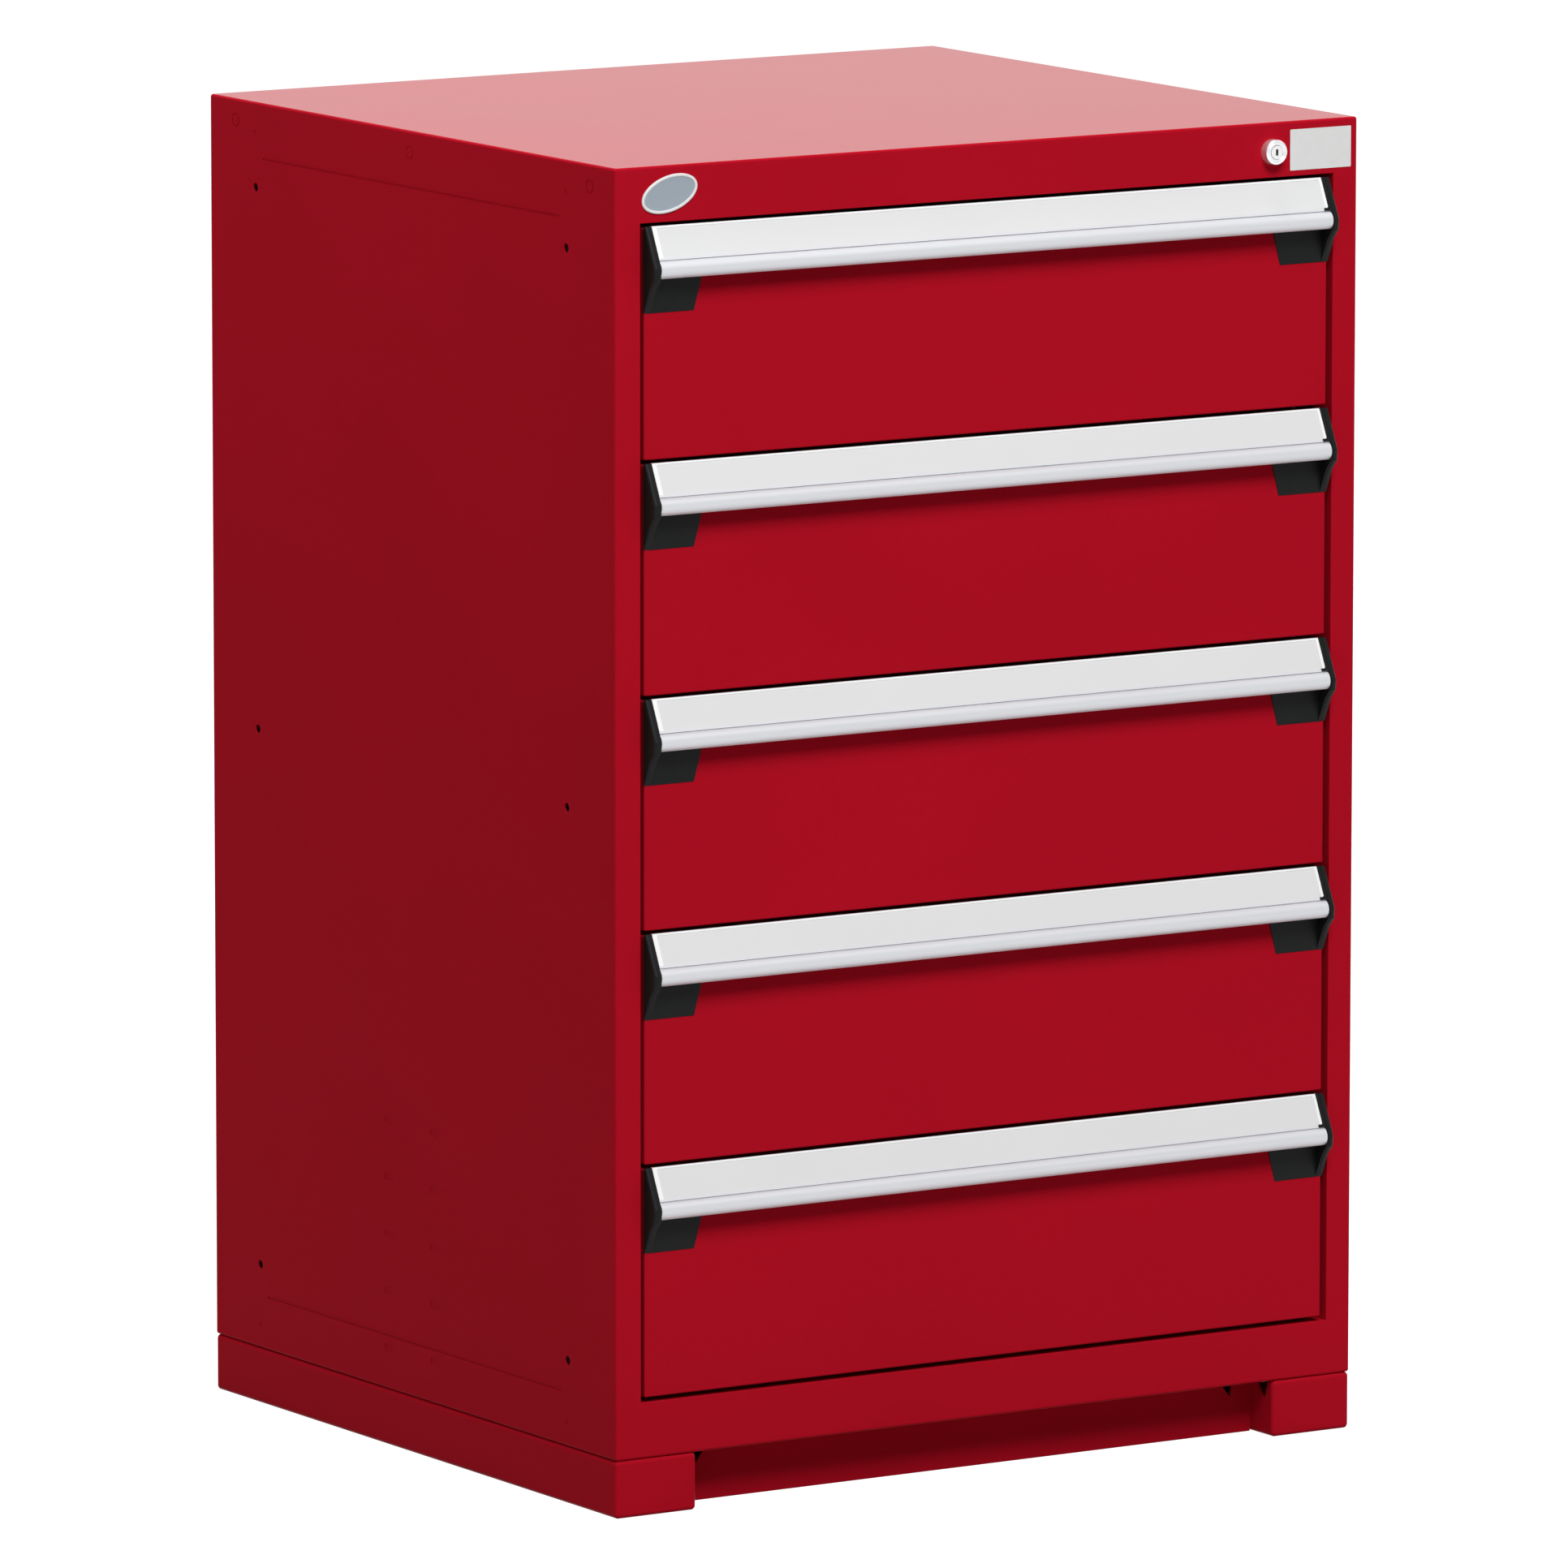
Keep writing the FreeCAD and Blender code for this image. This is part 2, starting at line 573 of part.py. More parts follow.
def channel(x_web, x_edge, y0, y1, z):
    """The web and the two flanges of a rail, with its web at one x and its flanges reaching to another."""
    half = RAIL_CHANNEL_HEIGHT / 2
    web_inner = x_web + (RAIL_SHEET if x_edge > x_web else -RAIL_SHEET)
    web_low, web_high = sorted((x_web, web_inner))
    flange_low, flange_high = sorted((web_inner, x_edge))
    web = box(web_low, web_high, y0, y1, z - half - RAIL_SHEET, z + half + RAIL_SHEET)
    lower = box(flange_low, flange_high, y0, y1, z - half - RAIL_SHEET, z - half)
    upper = box(flange_low, flange_high, y0, y1, z + half, z + half + RAIL_SHEET)
    return [web, lower, upper]


def cabinet_rail(index):
    """A fixed rail on the right side, with hooks in the uprights and a stop at its back end."""
    z = slide_centre(index)
    back = behind(CABINET_RAIL_BACK)
    web, lower, upper = channel(OPENING_HALF, CABINET_FLANGE_EDGE, behind(CABINET_RAIL_SETBACK), back, z)
    stop = box(TRAY_HALF + RAIL_SHEET, OPENING_HALF, back, back + RAIL_SHEET,
               z - RAIL_CHANNEL_HEIGHT / 2 - RAIL_SHEET, z + RAIL_CHANNEL_HEIGHT / 2 + RAIL_SHEET)
    hooks = []
    half_slot = DRAWER_PITCH / SLOTS_PER_DRAWER / 2
    hook_width = HOOK_SLOT_WIDTH - 2 * HOOK_CLEARANCE
    for setback in UPRIGHT_PLACES:
        for level in (-half_slot, half_slot):
            hooks.append(box(OPENING_HALF - RAIL_SHEET, OPENING_HALF + UPRIGHT_SHEET,
                             behind(setback - hook_width / 2), behind(setback + hook_width / 2),
                             z + level - HOOK_HEIGHT / 2, z + level + HOOK_HEIGHT / 2))
    return [join(web, hooks), lower, upper, stop]


def drawer_rail(index):
    """The rail on the right side of a drawer's tray."""
    return channel(TRAY_HALF, DRAWER_FLANGE_EDGE, behind(DRAWER_RAIL_FRONT), behind(DRAWER_RAIL_BACK),
                   slide_centre(index))


def roller(x_plate, outwards, y, z):
    """A grooved roller with its hub against the carriage plate."""
    hub_length = CARRIAGE_GAP + ROLLER_INSET
    hub = across(min(x_plate, x_plate + outwards * hub_length), y, z, ROLLER_HUB / 2, hub_length)
    start = x_plate + outwards * hub_length
    end = start + outwards * ROLLER_WIDTH
    tread = across(min(start, end), y, z, ROLLER_DIAMETER / 2, ROLLER_WIDTH)
    middle = (start + end) / 2
    band = ROLLER_WIDTH / 3
    groove = across(middle - band / 2, y, z, ROLLER_DIAMETER / 2, band)
    groove = groove.cut(across(middle - band / 2, y, z, ROLLER_DIAMETER / 2 - ROLLER_GROOVE, band))
    return hub.fuse(tread).cut(groove)


def carriage(index):
    """The plate of the right carriage and its four rollers."""
    z = slide_centre(index)
    plate = box(PLATE_INNER, PLATE_OUTER, behind(CABINET_RAIL_SETBACK), behind(CARRIAGE_BACK),
                z - CARRIAGE_HEIGHT / 2, z + CARRIAGE_HEIGHT / 2)
    pieces = [plate]
    for setback in OUTER_ROLLERS:
        pieces.append(roller(PLATE_OUTER, 1, behind(setback), z))
    for setback in INNER_ROLLERS:
        pieces.append(roller(PLATE_INNER, -1, behind(setback), z))
    return pieces


def rail_bumper(index):
    """The rubber bumper on the stop of the right rail, which the closed drawer meets."""
    x = TRAY_HALF + RAIL_SHEET + BUMPER_DIAMETER / 2
    start = DRAWER_RAIL_BACK + BUMPER_CLEARANCE
    return inward(x, behind(start), slide_centre(index), BUMPER_DIAMETER / 2, CABINET_RAIL_BACK - start)


def drawer_front(index):
    """The bent sheet front of a drawer, just lower than its handle, and the lock catch on its right lip."""
    low = drawer_bottom(index)
    high = drawer_top(index) - HANDLE_COVER
    outer = box(-FRONT_HALF, FRONT_HALF, FRONT_Y, behind(FRONT_DEPTH), low, high)
    front_edges = [edge for edge in outer.Edges if edge.BoundBox.YMin < FRONT_Y + CUT_MARGIN]
    outer = outer.makeFillet(FRONT_EDGE_RADIUS, front_edges)
    hollow = box(-FRONT_HALF + SHEET, FRONT_HALF - SHEET, behind(SHEET), behind(FRONT_DEPTH - SHEET),
                 low + SHEET, high - SHEET)
    window = box(-FRONT_HALF + FRONT_SIDE_LIP, FRONT_HALF - FRONT_SIDE_LIP,
                 behind(FRONT_DEPTH - SHEET - CUT_MARGIN), behind(FRONT_DEPTH + CUT_MARGIN),
                 low + TRAY_RISE + FRONT_LIP_LAP, low + TRAY_RISE + TRAY_HEIGHT - FRONT_LIP_LAP)
    pan = cut_all(outer, [hollow, window])
    side = FRONT_HALF - SHEET
    lip = FRONT_HALF - FRONT_SIDE_LIP
    back = behind(FRONT_DEPTH)
    plates = divided(pan, [box(-FRONT_HALF, -side, FRONT_Y, back, low, high),
                           box(side, FRONT_HALF, FRONT_Y, back, low, high),
                           box(-side, side, FRONT_Y, back, low, low + SHEET),
                           box(-side, side, FRONT_Y, back, high - SHEET, high),
                           box(-side, side, FRONT_Y, behind(SHEET), low, high),
                           box(-side, -lip, FRONT_Y, back, low, high),
                           box(lip, side, FRONT_Y, back, low, high)])
    return plates + catch(index)


def catch(index):
    """An arm welded on the right lip, and the hook at its end that the raised lock finger holds."""
    x1 = FRONT_HALF - SHEET
    x0 = x1 - CATCH_SHEET
    y0 = behind(FRONT_DEPTH)
    y1 = y0 + CATCH_LENGTH
    low = drawer_bottom(index) + CATCH_RISE
    hook_top = low + bar_travel() + CATCH_SPARE
    hook_front = behind((BAR_FRONT + BAR_BACK) / 2 + CATCH_GAP)
    arm = box(x0, x1, y0, y1, hook_top, low + CATCH_HEIGHT)
    hook = box(x0, x1, hook_front, y1, low, hook_top)
    return [arm, hook]


def slotted_wall(x0, x1, y0, y1, low):
    """A wall of the tray, with rows of short slots for partitions."""
    wall = box(x0, x1, y0, y1, low, low + TRAY_HEIGHT)
    along_x = x1 - x0 > y1 - y0
    length = max(x1 - x0, y1 - y0)
    steps = int(length / PARTITION_PITCH)
    half = PARTITION_SLOT_WIDTH / 2
    slots = []
    for row in range(PARTITION_ROWS):
        z0 = low + PARTITION_SLOT_RISE + row * PARTITION_ROW_SPACING
        z1 = z0 + PARTITION_SLOT_HEIGHT
        for step in range(1, steps):
            offset = (step - steps / 2) * PARTITION_PITCH
            if along_x:
                x = (x0 + x1) / 2 + offset
                slots.append(box(x - half, x + half, y0 - CUT_MARGIN, y1 + CUT_MARGIN, z0, z1))
            else:
                y = (y0 + y1) / 2 + offset
                slots.append(box(x0 - CUT_MARGIN, x1 + CUT_MARGIN, y - half, y + half, z0, z1))
    return cut_all(wall, slots)


def drawer_tray(index):
    """The open tray of a drawer: a floor, four walls and three folded rims, each a flat sheet."""
    low = drawer_bottom(index) + TRAY_RISE
    rim_low = low + TRAY_HEIGHT - TRAY_RIM_HEIGHT
    rim_high = low + TRAY_HEIGHT
    y0 = behind(FRONT_DEPTH)
    y1 = behind(TRAY_BACK)
    inner = TRAY_HALF - TRAY_SHEET
    floor = box(-inner, inner, y0 + TRAY_SHEET, y1 - TRAY_SHEET, low, low + TRAY_SHEET)
    left = slotted_wall(-TRAY_HALF, -inner, y0, y1, low)
    left_rim = box(-TRAY_HALF - TRAY_RIM_WIDTH, -TRAY_HALF, y0, y1, rim_low, rim_high)
    front = slotted_wall(-inner, inner, y0, y0 + TRAY_SHEET, low)
    back = slotted_wall(-inner, inner, y1 - TRAY_SHEET, y1, low)
    back_rim = box(-inner, inner, y1, y1 + TRAY_RIM_WIDTH, rim_low, rim_high)
    return [floor, left, mirrored(left), front, back, left_rim, mirrored(left_rim), back_rim]


def handle_point(x, out, drop, top):
    """A point of the handle's section: how far in front of the housing, and how far below the top."""
    return FreeCAD.Vector(x, FRONT_Y - out, top - drop)


def face_inset(distance):
    """A step square into the handle's sloped face, as (out, drop)."""
    run = HANDLE_FACE_OUT - HANDLE_TOP_EDGE
    length = math.hypot(run, HANDLE_FACE_DROP)
    return -distance * HANDLE_FACE_DROP / length, distance * run / length


def handle(index):
    """The handle extrusion: a mounting flange, a sloped face with a label pocket, and a lip."""
    top = drawer_top(index)
    x0 = -FRONT_HALF + CAP_THICKNESS
    out_step, drop_step = face_inset(HANDLE_WALL)
    slope = (HANDLE_FACE_OUT - HANDLE_TOP_EDGE) / HANDLE_FACE_DROP
    inner_top_drop = (HANDLE_WALL - HANDLE_TOP_EDGE - out_step) / slope + drop_step
    half_wall = HANDLE_WALL / 2

    def at(out, drop):
        return handle_point(x0, out, drop, top)

    face_end = at(HANDLE_FACE_OUT, HANDLE_FACE_DROP)
    groove = at(HANDLE_FACE_OUT - HANDLE_GROOVE, HANDLE_FACE_DROP + HANDLE_GROOVE / 2)
    lip_start = at(HANDLE_FACE_OUT + HANDLE_GROOVE / 2, HANDLE_FACE_DROP + HANDLE_GROOVE)
    lip_bulge = at(HANDLE_PROJECTION, LIP_BULGE_DROP)
    lip_end = at(HANDLE_FACE_OUT, HANDLE_HEIGHT)
    lip_tip = at(HANDLE_FACE_OUT - half_wall, HANDLE_HEIGHT - half_wall / 2)
    lip_back = at(HANDLE_FACE_OUT - half_wall / 2, HANDLE_HEIGHT - HANDLE_WALL)
    inner_bulge = at(HANDLE_PROJECTION - HANDLE_WALL, LIP_BULGE_DROP)
    inner_end = at(HANDLE_FACE_OUT + out_step, HANDLE_FACE_DROP + drop_step + HANDLE_GROOVE)
    inner_top = at(HANDLE_WALL, inner_top_drop)
    sides = [Part.LineSegment(at(0, 0), at(HANDLE_TOP_EDGE, 0)),
             Part.LineSegment(at(HANDLE_TOP_EDGE, 0), face_end),
             Part.LineSegment(face_end, groove),
             Part.LineSegment(groove, lip_start),
             Part.Arc(lip_start, lip_bulge, lip_end),
             Part.Arc(lip_end, lip_tip, lip_back),
             Part.Arc(lip_back, inner_bulge, inner_end),
             Part.LineSegment(inner_end, inner_top),
             Part.LineSegment(inner_top, at(HANDLE_WALL, HANDLE_FLANGE_DROP)),
             Part.LineSegment(at(HANDLE_WALL, HANDLE_FLANGE_DROP), at(0, HANDLE_FLANGE_DROP)),
             Part.LineSegment(at(0, HANDLE_FLANGE_DROP), at(0, 0))]
    outline = Part.Wire([side.toShape() for side in sides])
    length = 2 * (FRONT_HALF - CAP_THICKNESS)
    section = Part.Face(outline).extrude(FreeCAD.Vector(length, 0, 0))
    return section.cut(label_slab(index, LABEL_POCKET, 0))


def label_slab(index, depth, raised):
    """A flat slab in the handle's sloped face, from a bottom at this depth up to above the face."""
    top = drawer_top(index)
    slope = (HANDLE_FACE_OUT - HANDLE_TOP_EDGE) / HANDLE_FACE_DROP
    x0 = -FRONT_HALF + CAP_THICKNESS + LABEL_END_MARGIN
    x1 = FRONT_HALF - CAP_THICKNESS - LABEL_END_MARGIN
    corners = []
    for drop, inset in ((LABEL_MARGIN, depth), (LABEL_MARGIN, raised),
                        (HANDLE_FACE_DROP - LABEL_MARGIN, raised), (HANDLE_FACE_DROP - LABEL_MARGIN, depth)):
        out_step, drop_step = face_inset(inset)
        out = HANDLE_TOP_EDGE + drop * slope
        corners.append(handle_point(x0, out + out_step, drop + drop_step, top))
    return extrude(corners, FreeCAD.Vector(x1 - x0, 0, 0))


def label_strip(index):
    """The strip that lies on the floor of the handle's label pocket."""
    return label_slab(index, LABEL_POCKET, LABEL_POCKET - LABEL_THICKNESS)


def handle_cap(index):
    """The right end cap: a plate over the handle's end, and a shallow wedge below the lip."""
    top = drawer_top(index)
    plate_x = FRONT_HALF - CAP_THICKNESS
    plate = extrude([handle_point(plate_x, 0, 0, top),
                     handle_point(plate_x, HANDLE_TOP_EDGE, 0, top),
                     handle_point(plate_x, HANDLE_PROJECTION, LIP_BULGE_DROP, top),
                     handle_point(plate_x, HANDLE_PROJECTION, HANDLE_HEIGHT, top),
                     handle_point(plate_x, CAP_KNEE_OUT, CAP_KNEE_DROP, top),
                     handle_point(plate_x, 0, CAP_HEIGHT, top)],
                    FreeCAD.Vector(CAP_THICKNESS + CAP_OVERHANG, 0, 0))
    block_x = FRONT_HALF - CAP_BLOCK_TOP_WIDTH
    wedge = extrude([handle_point(block_x, 0, CAP_BLOCK_DROP, top),
                     handle_point(block_x, CAP_BLOCK_TOP_OUT, CAP_BLOCK_DROP, top),
                     handle_point(block_x, CAP_BLOCK_FOOT_OUT, CAP_HEIGHT, top),
                     handle_point(block_x, 0, CAP_HEIGHT, top)],
                    FreeCAD.Vector(CAP_BLOCK_TOP_WIDTH, 0, 0))
    outline = extrude([handle_point(block_x, 0, CAP_BLOCK_DROP, top),
                       handle_point(FRONT_HALF, 0, CAP_BLOCK_DROP, top),
                       handle_point(FRONT_HALF, 0, CAP_HEIGHT, top),
                       handle_point(FRONT_HALF - CAP_BLOCK_FOOT_WIDTH, 0, CAP_HEIGHT, top)],
                      FreeCAD.Vector(0, -HANDLE_PROJECTION, 0))
    return join(plate, [wedge.common(outline)])


def bar_travel():
    """How far the cam lifts the lock bar between its two rest angles."""
    end_angle = CAM_REST_ANGLE + CAM_TURN
    return CAM_PIN_RADIUS * (math.sin(math.radians(end_angle)) - math.sin(math.radians(CAM_REST_ANGLE)))


def lock_barrel():
    """The round lock body, with its head in front of the top rail."""
    head = inward(LOCK_X, behind(-BARREL_PROJECTION), LOCK_Z, BARREL_HEAD / 2, BARREL_PROJECTION)
    front_edge = [edge for edge in head.Edges if edge.BoundBox.YMax < behind(-BARREL_CHAMFER)]
    head = head.makeChamfer(BARREL_CHAMFER, front_edge)
    body = inward(LOCK_X, FRONT_Y, LOCK_Z, BARREL_BODY / 2, BARREL_LENGTH)
    bore = inward(LOCK_X, behind(-BARREL_PROJECTION - CUT_MARGIN), LOCK_Z, PLUG_DIAMETER / 2 + PLUG_CLEARANCE,
                  BARREL_PROJECTION + BARREL_LENGTH + 2 * CUT_MARGIN)
    return join(head, [body]).cut(bore)


def lock_nut():
    centre = FreeCAD.Vector(LOCK_X, behind(SHEET), LOCK_Z)
    nut = hexagon(centre, NUT_WIDTH, FreeCAD.Vector(0, 1, 0), NUT_HEIGHT)
    return nut.cut(inward(LOCK_X, FRONT_Y, LOCK_Z, BARREL_BODY / 2, BARREL_LENGTH))


def lock_plug():
    """The part of the lock that the key turns, with an upright keyway and a tail for the cam."""
    start = PLUG_RECESS - BARREL_PROJECTION
    plug = inward(LOCK_X, behind(start), LOCK_Z, PLUG_DIAMETER / 2, BARREL_LENGTH + PLUG_TAIL - start)
    keyway = box(LOCK_X - KEYWAY_WIDTH / 2, LOCK_X + KEYWAY_WIDTH / 2, behind(start - CUT_MARGIN),
                 behind(start + KEYWAY_DEPTH), LOCK_Z - KEYWAY_HEIGHT / 2, LOCK_Z + KEYWAY_HEIGHT / 2)
    return plug.cut(keyway)


def lock_cam():
    """The plate on the plug's tail, and the pin on it that lifts the bar."""
    start = behind(BARREL_LENGTH + PLUG_TAIL)
    back = behind(CAM_BACK)
    hub = inward(LOCK_X, start, LOCK_Z, CAM_HUB / 2, CAM_THICKNESS)
    lobe = inward(PIN_REST_X, start, PIN_REST_Z, CAM_PIN, CAM_THICKNESS)
    pin_end = behind(ARM_FRONT + BAR_THICKNESS + CAM_PIN_OVERHANG)
    pin = inward(PIN_REST_X, back, PIN_REST_Z, CAM_PIN / 2, pin_end - back)
    return [join(hub, [lobe]), pin]


def lock_bar():
    """The upright bar behind the right stile, with a forked arm to the cam and a finger for each drawer."""
    arm_low = PIN_REST_Z - ARM_HEIGHT / 2
    arm_high = PIN_REST_Z + ARM_HEIGHT / 2
    arm_front = behind(ARM_FRONT)
    arm_back = behind(ARM_FRONT + BAR_THICKNESS)
    slot_half = CAM_PIN / 2 + PIN_CLEARANCE
    slot_end = LOCK_X + CAM_PIN_RADIUS + slot_half
    fork_end = PIN_REST_X - 2 * CAM_PIN
    low = drawer_bottom(0) + BAR_FOOT
    bar = box(BAR_INNER, BAR_OUTER, behind(BAR_FRONT), behind(BAR_BACK), low, arm_high)
    arm = box(slot_end, BAR_INNER, arm_front, arm_back, arm_low, arm_high)
    lower_jaw = box(fork_end, slot_end, arm_front, arm_back, arm_low, PIN_REST_Z - slot_half)
    upper_jaw = box(fork_end, slot_end, arm_front, arm_back, PIN_REST_Z + slot_half, arm_high)
    return [bar, arm, lower_jaw, upper_jaw] + [finger(index) for index in range(DRAWER_COUNT)]


def finger(index):
    """A stud on the bar that rises in front of a drawer's hook when the lock is turned."""
    top = drawer_bottom(index) + CATCH_RISE - FINGER_GAP
    centre = (BAR_FRONT + BAR_BACK) / 2
    return box(BAR_INNER - FINGER_REACH, BAR_INNER,
               behind(centre - FINGER_THICKNESS / 2), behind(centre + FINGER_THICKNESS / 2),
               top - FINGER_HEIGHT, top)


def bar_guide(index):
    """A bent guide on the right panel, which the lock bar slides in: a front, an inner and a back wall."""
    low = drawer_bottom(index) + GUIDE_RISE
    high = low + GUIDE_HEIGHT
    outer = HALF_WIDTH - SHEET
    inner_face = BAR_INNER - GUIDE_CLEARANCE
    front_face = behind(BAR_FRONT - GUIDE_CLEARANCE)
    back_face = behind(BAR_BACK + GUIDE_CLEARANCE)
    start = front_face - GUIDE_WALL
    end = back_face + GUIDE_WALL
    return [box(inner_face, outer, start, front_face, low, high),
            box(inner_face - GUIDE_WALL, inner_face, start, end, low, high),
            box(inner_face, outer, back_face, end, low, high)]


def oval(length, height, y0, y1):
    """A tilted oval plate on the front, centred where the badge is."""
    ellipse = Part.Ellipse(FreeCAD.Vector(0, 0, 0), length / 2, height / 2)
    face = Part.Face(Part.Wire([ellipse.toShape()]))
    plate = face.extrude(FreeCAD.Vector(0, 0, y1 - y0))
    plate.rotate(FreeCAD.Vector(0, 0, 0), FreeCAD.Vector(0, 0, 1), BADGE_TILT)
    plate.rotate(FreeCAD.Vector(0, 0, 0), FreeCAD.Vector(1, 0, 0), 90)
    plate.translate(FreeCAD.Vector(-HALF_WIDTH + BADGE_INSET, y1, OPENING_TOP + BADGE_RISE))
    return plate


def badge_plate():
    """A plain oval plate with a raised rim."""
    plate = oval(BADGE_LENGTH, BADGE_HEIGHT, behind(-BADGE_THICKNESS), FRONT_Y)
    field = oval(BADGE_LENGTH - 2 * BADGE_RIM, BADGE_HEIGHT - 2 * BADGE_RIM,
                 behind(-BADGE_THICKNESS - CUT_MARGIN), behind(BADGE_RIM_DEPTH - BADGE_THICKNESS))
    return plate.cut(field)


def build_housing():
    shell = housing_shell()
    left = side_panel(shell)
    save("left_side_panel", folded_plates(left))
    save("right_side_panel", folded_plates(mirrored(left)))
    save("top_panel", folded_plates(top_panel(shell)))
    save("bottom_panel", folded_plates(bottom_panel(shell)))
    save("back_panel", back_panel(shell))
    left_uprights = [plate for setback in UPRIGHT_PLACES for plate in upright(setback)]
    save("slotted_uprights", both_sides(left_uprights))
    save("badge_plate", [badge_plate()])


def build_base():
    left = base_channel()
    save("left_base_channel", left)
    save("right_base_channel", [mirrored(plate) for plate in left])
    save("kick_plate", [kick_plate()])
    save("base_rear_channel", [base_rear_channel()])
    save("base_bolts", base_bolts())


def build_lock():
    save("lock_barrel", [lock_barrel()])
    save("lock_nut", [lock_nut()])
    save("lock_plug", [lock_plug()])
    save("lock_cam", lock_cam())
    save("lock_bar", lock_bar())
    guides = [wall for index in range(0, DRAWER_COUNT, GUIDE_STEP) for wall in bar_guide(index)]
    save("lock_bar_guides", guides)


def shifted(shapes):
    """The pieces of a drawer's front, moved sideways to where the front hangs in the opening."""
    return [shape.translated(FreeCAD.Vector(FRONT_SHIFT, 0, 0)) for shape in shapes]


def build_drawer(index):
    number = str(index + 1)
    save("drawer_front_" + number, shifted(drawer_front(index)))
    save("drawer_tray_" + number, drawer_tray(index))
    save("handle_" + number, shifted([handle(index)]))
    save("label_strip_" + number, shifted([label_strip(index)]))
    save("handle_caps_" + number, shifted(both_sides([handle_cap(index)])))
    save("drawer_rails_" + number, both_sides(drawer_rail(index)))
    save("carriages_" + number, both_sides(carriage(index)))
    save("cabinet_rails_" + number, both_sides(cabinet_rail(index)))


def build_bumpers():
    save("rail_bumpers", both_sides([rail_bumper(index) for index in range(DRAWER_COUNT)]))


def main():
    os.makedirs("parts", exist_ok=True)
    build_housing()
    build_base()
    build_lock()
    build_bumpers()
    for index in range(DRAWER_COUNT):
        build_drawer(index)


main()
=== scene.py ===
import json
import math

import bmesh
import bpy
from mathutils import Matrix, Vector


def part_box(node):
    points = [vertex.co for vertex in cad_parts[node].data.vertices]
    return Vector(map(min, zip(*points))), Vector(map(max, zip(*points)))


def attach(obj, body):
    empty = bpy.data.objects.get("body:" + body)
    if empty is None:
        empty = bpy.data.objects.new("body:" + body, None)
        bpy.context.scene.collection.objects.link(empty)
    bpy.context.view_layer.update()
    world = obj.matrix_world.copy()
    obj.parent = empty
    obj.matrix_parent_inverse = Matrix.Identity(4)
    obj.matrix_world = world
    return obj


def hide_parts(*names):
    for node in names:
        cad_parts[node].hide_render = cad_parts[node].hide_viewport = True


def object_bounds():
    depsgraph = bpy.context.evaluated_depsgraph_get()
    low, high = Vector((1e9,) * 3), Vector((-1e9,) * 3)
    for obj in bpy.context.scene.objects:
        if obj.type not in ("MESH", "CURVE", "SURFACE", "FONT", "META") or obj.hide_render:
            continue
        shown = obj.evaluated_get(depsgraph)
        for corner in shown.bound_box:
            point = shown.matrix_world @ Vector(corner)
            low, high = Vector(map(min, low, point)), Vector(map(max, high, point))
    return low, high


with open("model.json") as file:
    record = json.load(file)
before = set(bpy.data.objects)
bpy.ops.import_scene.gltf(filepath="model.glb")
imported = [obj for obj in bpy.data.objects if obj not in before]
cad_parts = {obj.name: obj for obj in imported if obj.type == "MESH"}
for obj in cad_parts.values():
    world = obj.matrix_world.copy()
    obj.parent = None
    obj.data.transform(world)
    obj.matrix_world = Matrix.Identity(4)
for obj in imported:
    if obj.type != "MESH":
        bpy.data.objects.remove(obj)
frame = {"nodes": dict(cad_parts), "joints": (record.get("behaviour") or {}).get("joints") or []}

bl_info = {
    "name": "Drawer cabinet dressing",
    "version": (1, 0, 0),
    "blender": (4, 5, 0),
    "location": "3D View > Sidebar > Cabinet",
    "description": "Finishes and trim for a steel drawer cabinet, with a plain studio round it",
    "category": "Object",
}

MM = 0.001
CAD_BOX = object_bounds()
DRAWERS = [name[-1] for name in frame["nodes"] if name.startswith("drawer_front_")]
FRONT_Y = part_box("top_panel")[0].y
ROUND_STEPS = 64
RIVET_STEPS = 24
CORNER_STEPS = 5
LIP_STEPS = 6
LIP_END_DEGREES = 10.0
EDGE_SEGMENTS = 3
SHARP_ANGLE = math.radians(32)
MIX_FACTOR = 0
MIX_FIRST = 6
MIX_SECOND = 7
MIX_RESULT = 2


def length(name, description, millimetres):
    """A size in millimetres that a user can change. It is held in metres."""
    return bpy.props.FloatProperty(
        name=name, description=description, default=millimetres * MM, unit="LENGTH", precision=5
    )


def colour(name, description, value):
    return bpy.props.FloatVectorProperty(
        name=name, description=description, default=value, subtype="COLOR", size=3, min=0, max=1
    )


def share(name, description, value):
    return bpy.props.FloatProperty(
        name=name, description=description, default=value, subtype="FACTOR", min=0, max=1
    )


class CABINET_PG_colours(bpy.types.PropertyGroup):
    """Colours of the finishes."""

    paint: colour("Paint", "Powder coat on the housing, base and drawers", (0.43, 0.0055, 0.0168))
    aluminium: colour("Aluminium", "Satin extrusion of the handles", (0.71, 0.72, 0.75))
    # Label rim: near-white as a painted highlight on the clear cover's edge; the raised rim itself is real.
    label_rim: colour("Label rim", "Clear rim round the label", (0.94, 0.94, 0.94))
    label: colour("Label", "Strip in the handle's face", (0.735, 0.74, 0.745))
    cap: colour("Cap", "Moulded end caps of the handles", (0.0070, 0.0078, 0.0075))
    chrome: colour("Chrome", "Polished lock", (0.84, 0.84, 0.85))
    zinc: colour("Zinc", "Plated slides, uprights and lock parts", (0.62, 0.63, 0.64))
    rubber: colour("Rubber", "Bumpers at the back of the slides", (0.016, 0.016, 0.016))
    badge_field: colour("Badge field", "Middle of the plain badge", (0.31, 0.36, 0.41))
    badge_rim: colour("Badge rim", "Raised rim of the plain badge", (0.78, 0.78, 0.78))
    sticker: colour("Sticker", "Blank sticker beside the lock", (0.74, 0.75, 0.74))


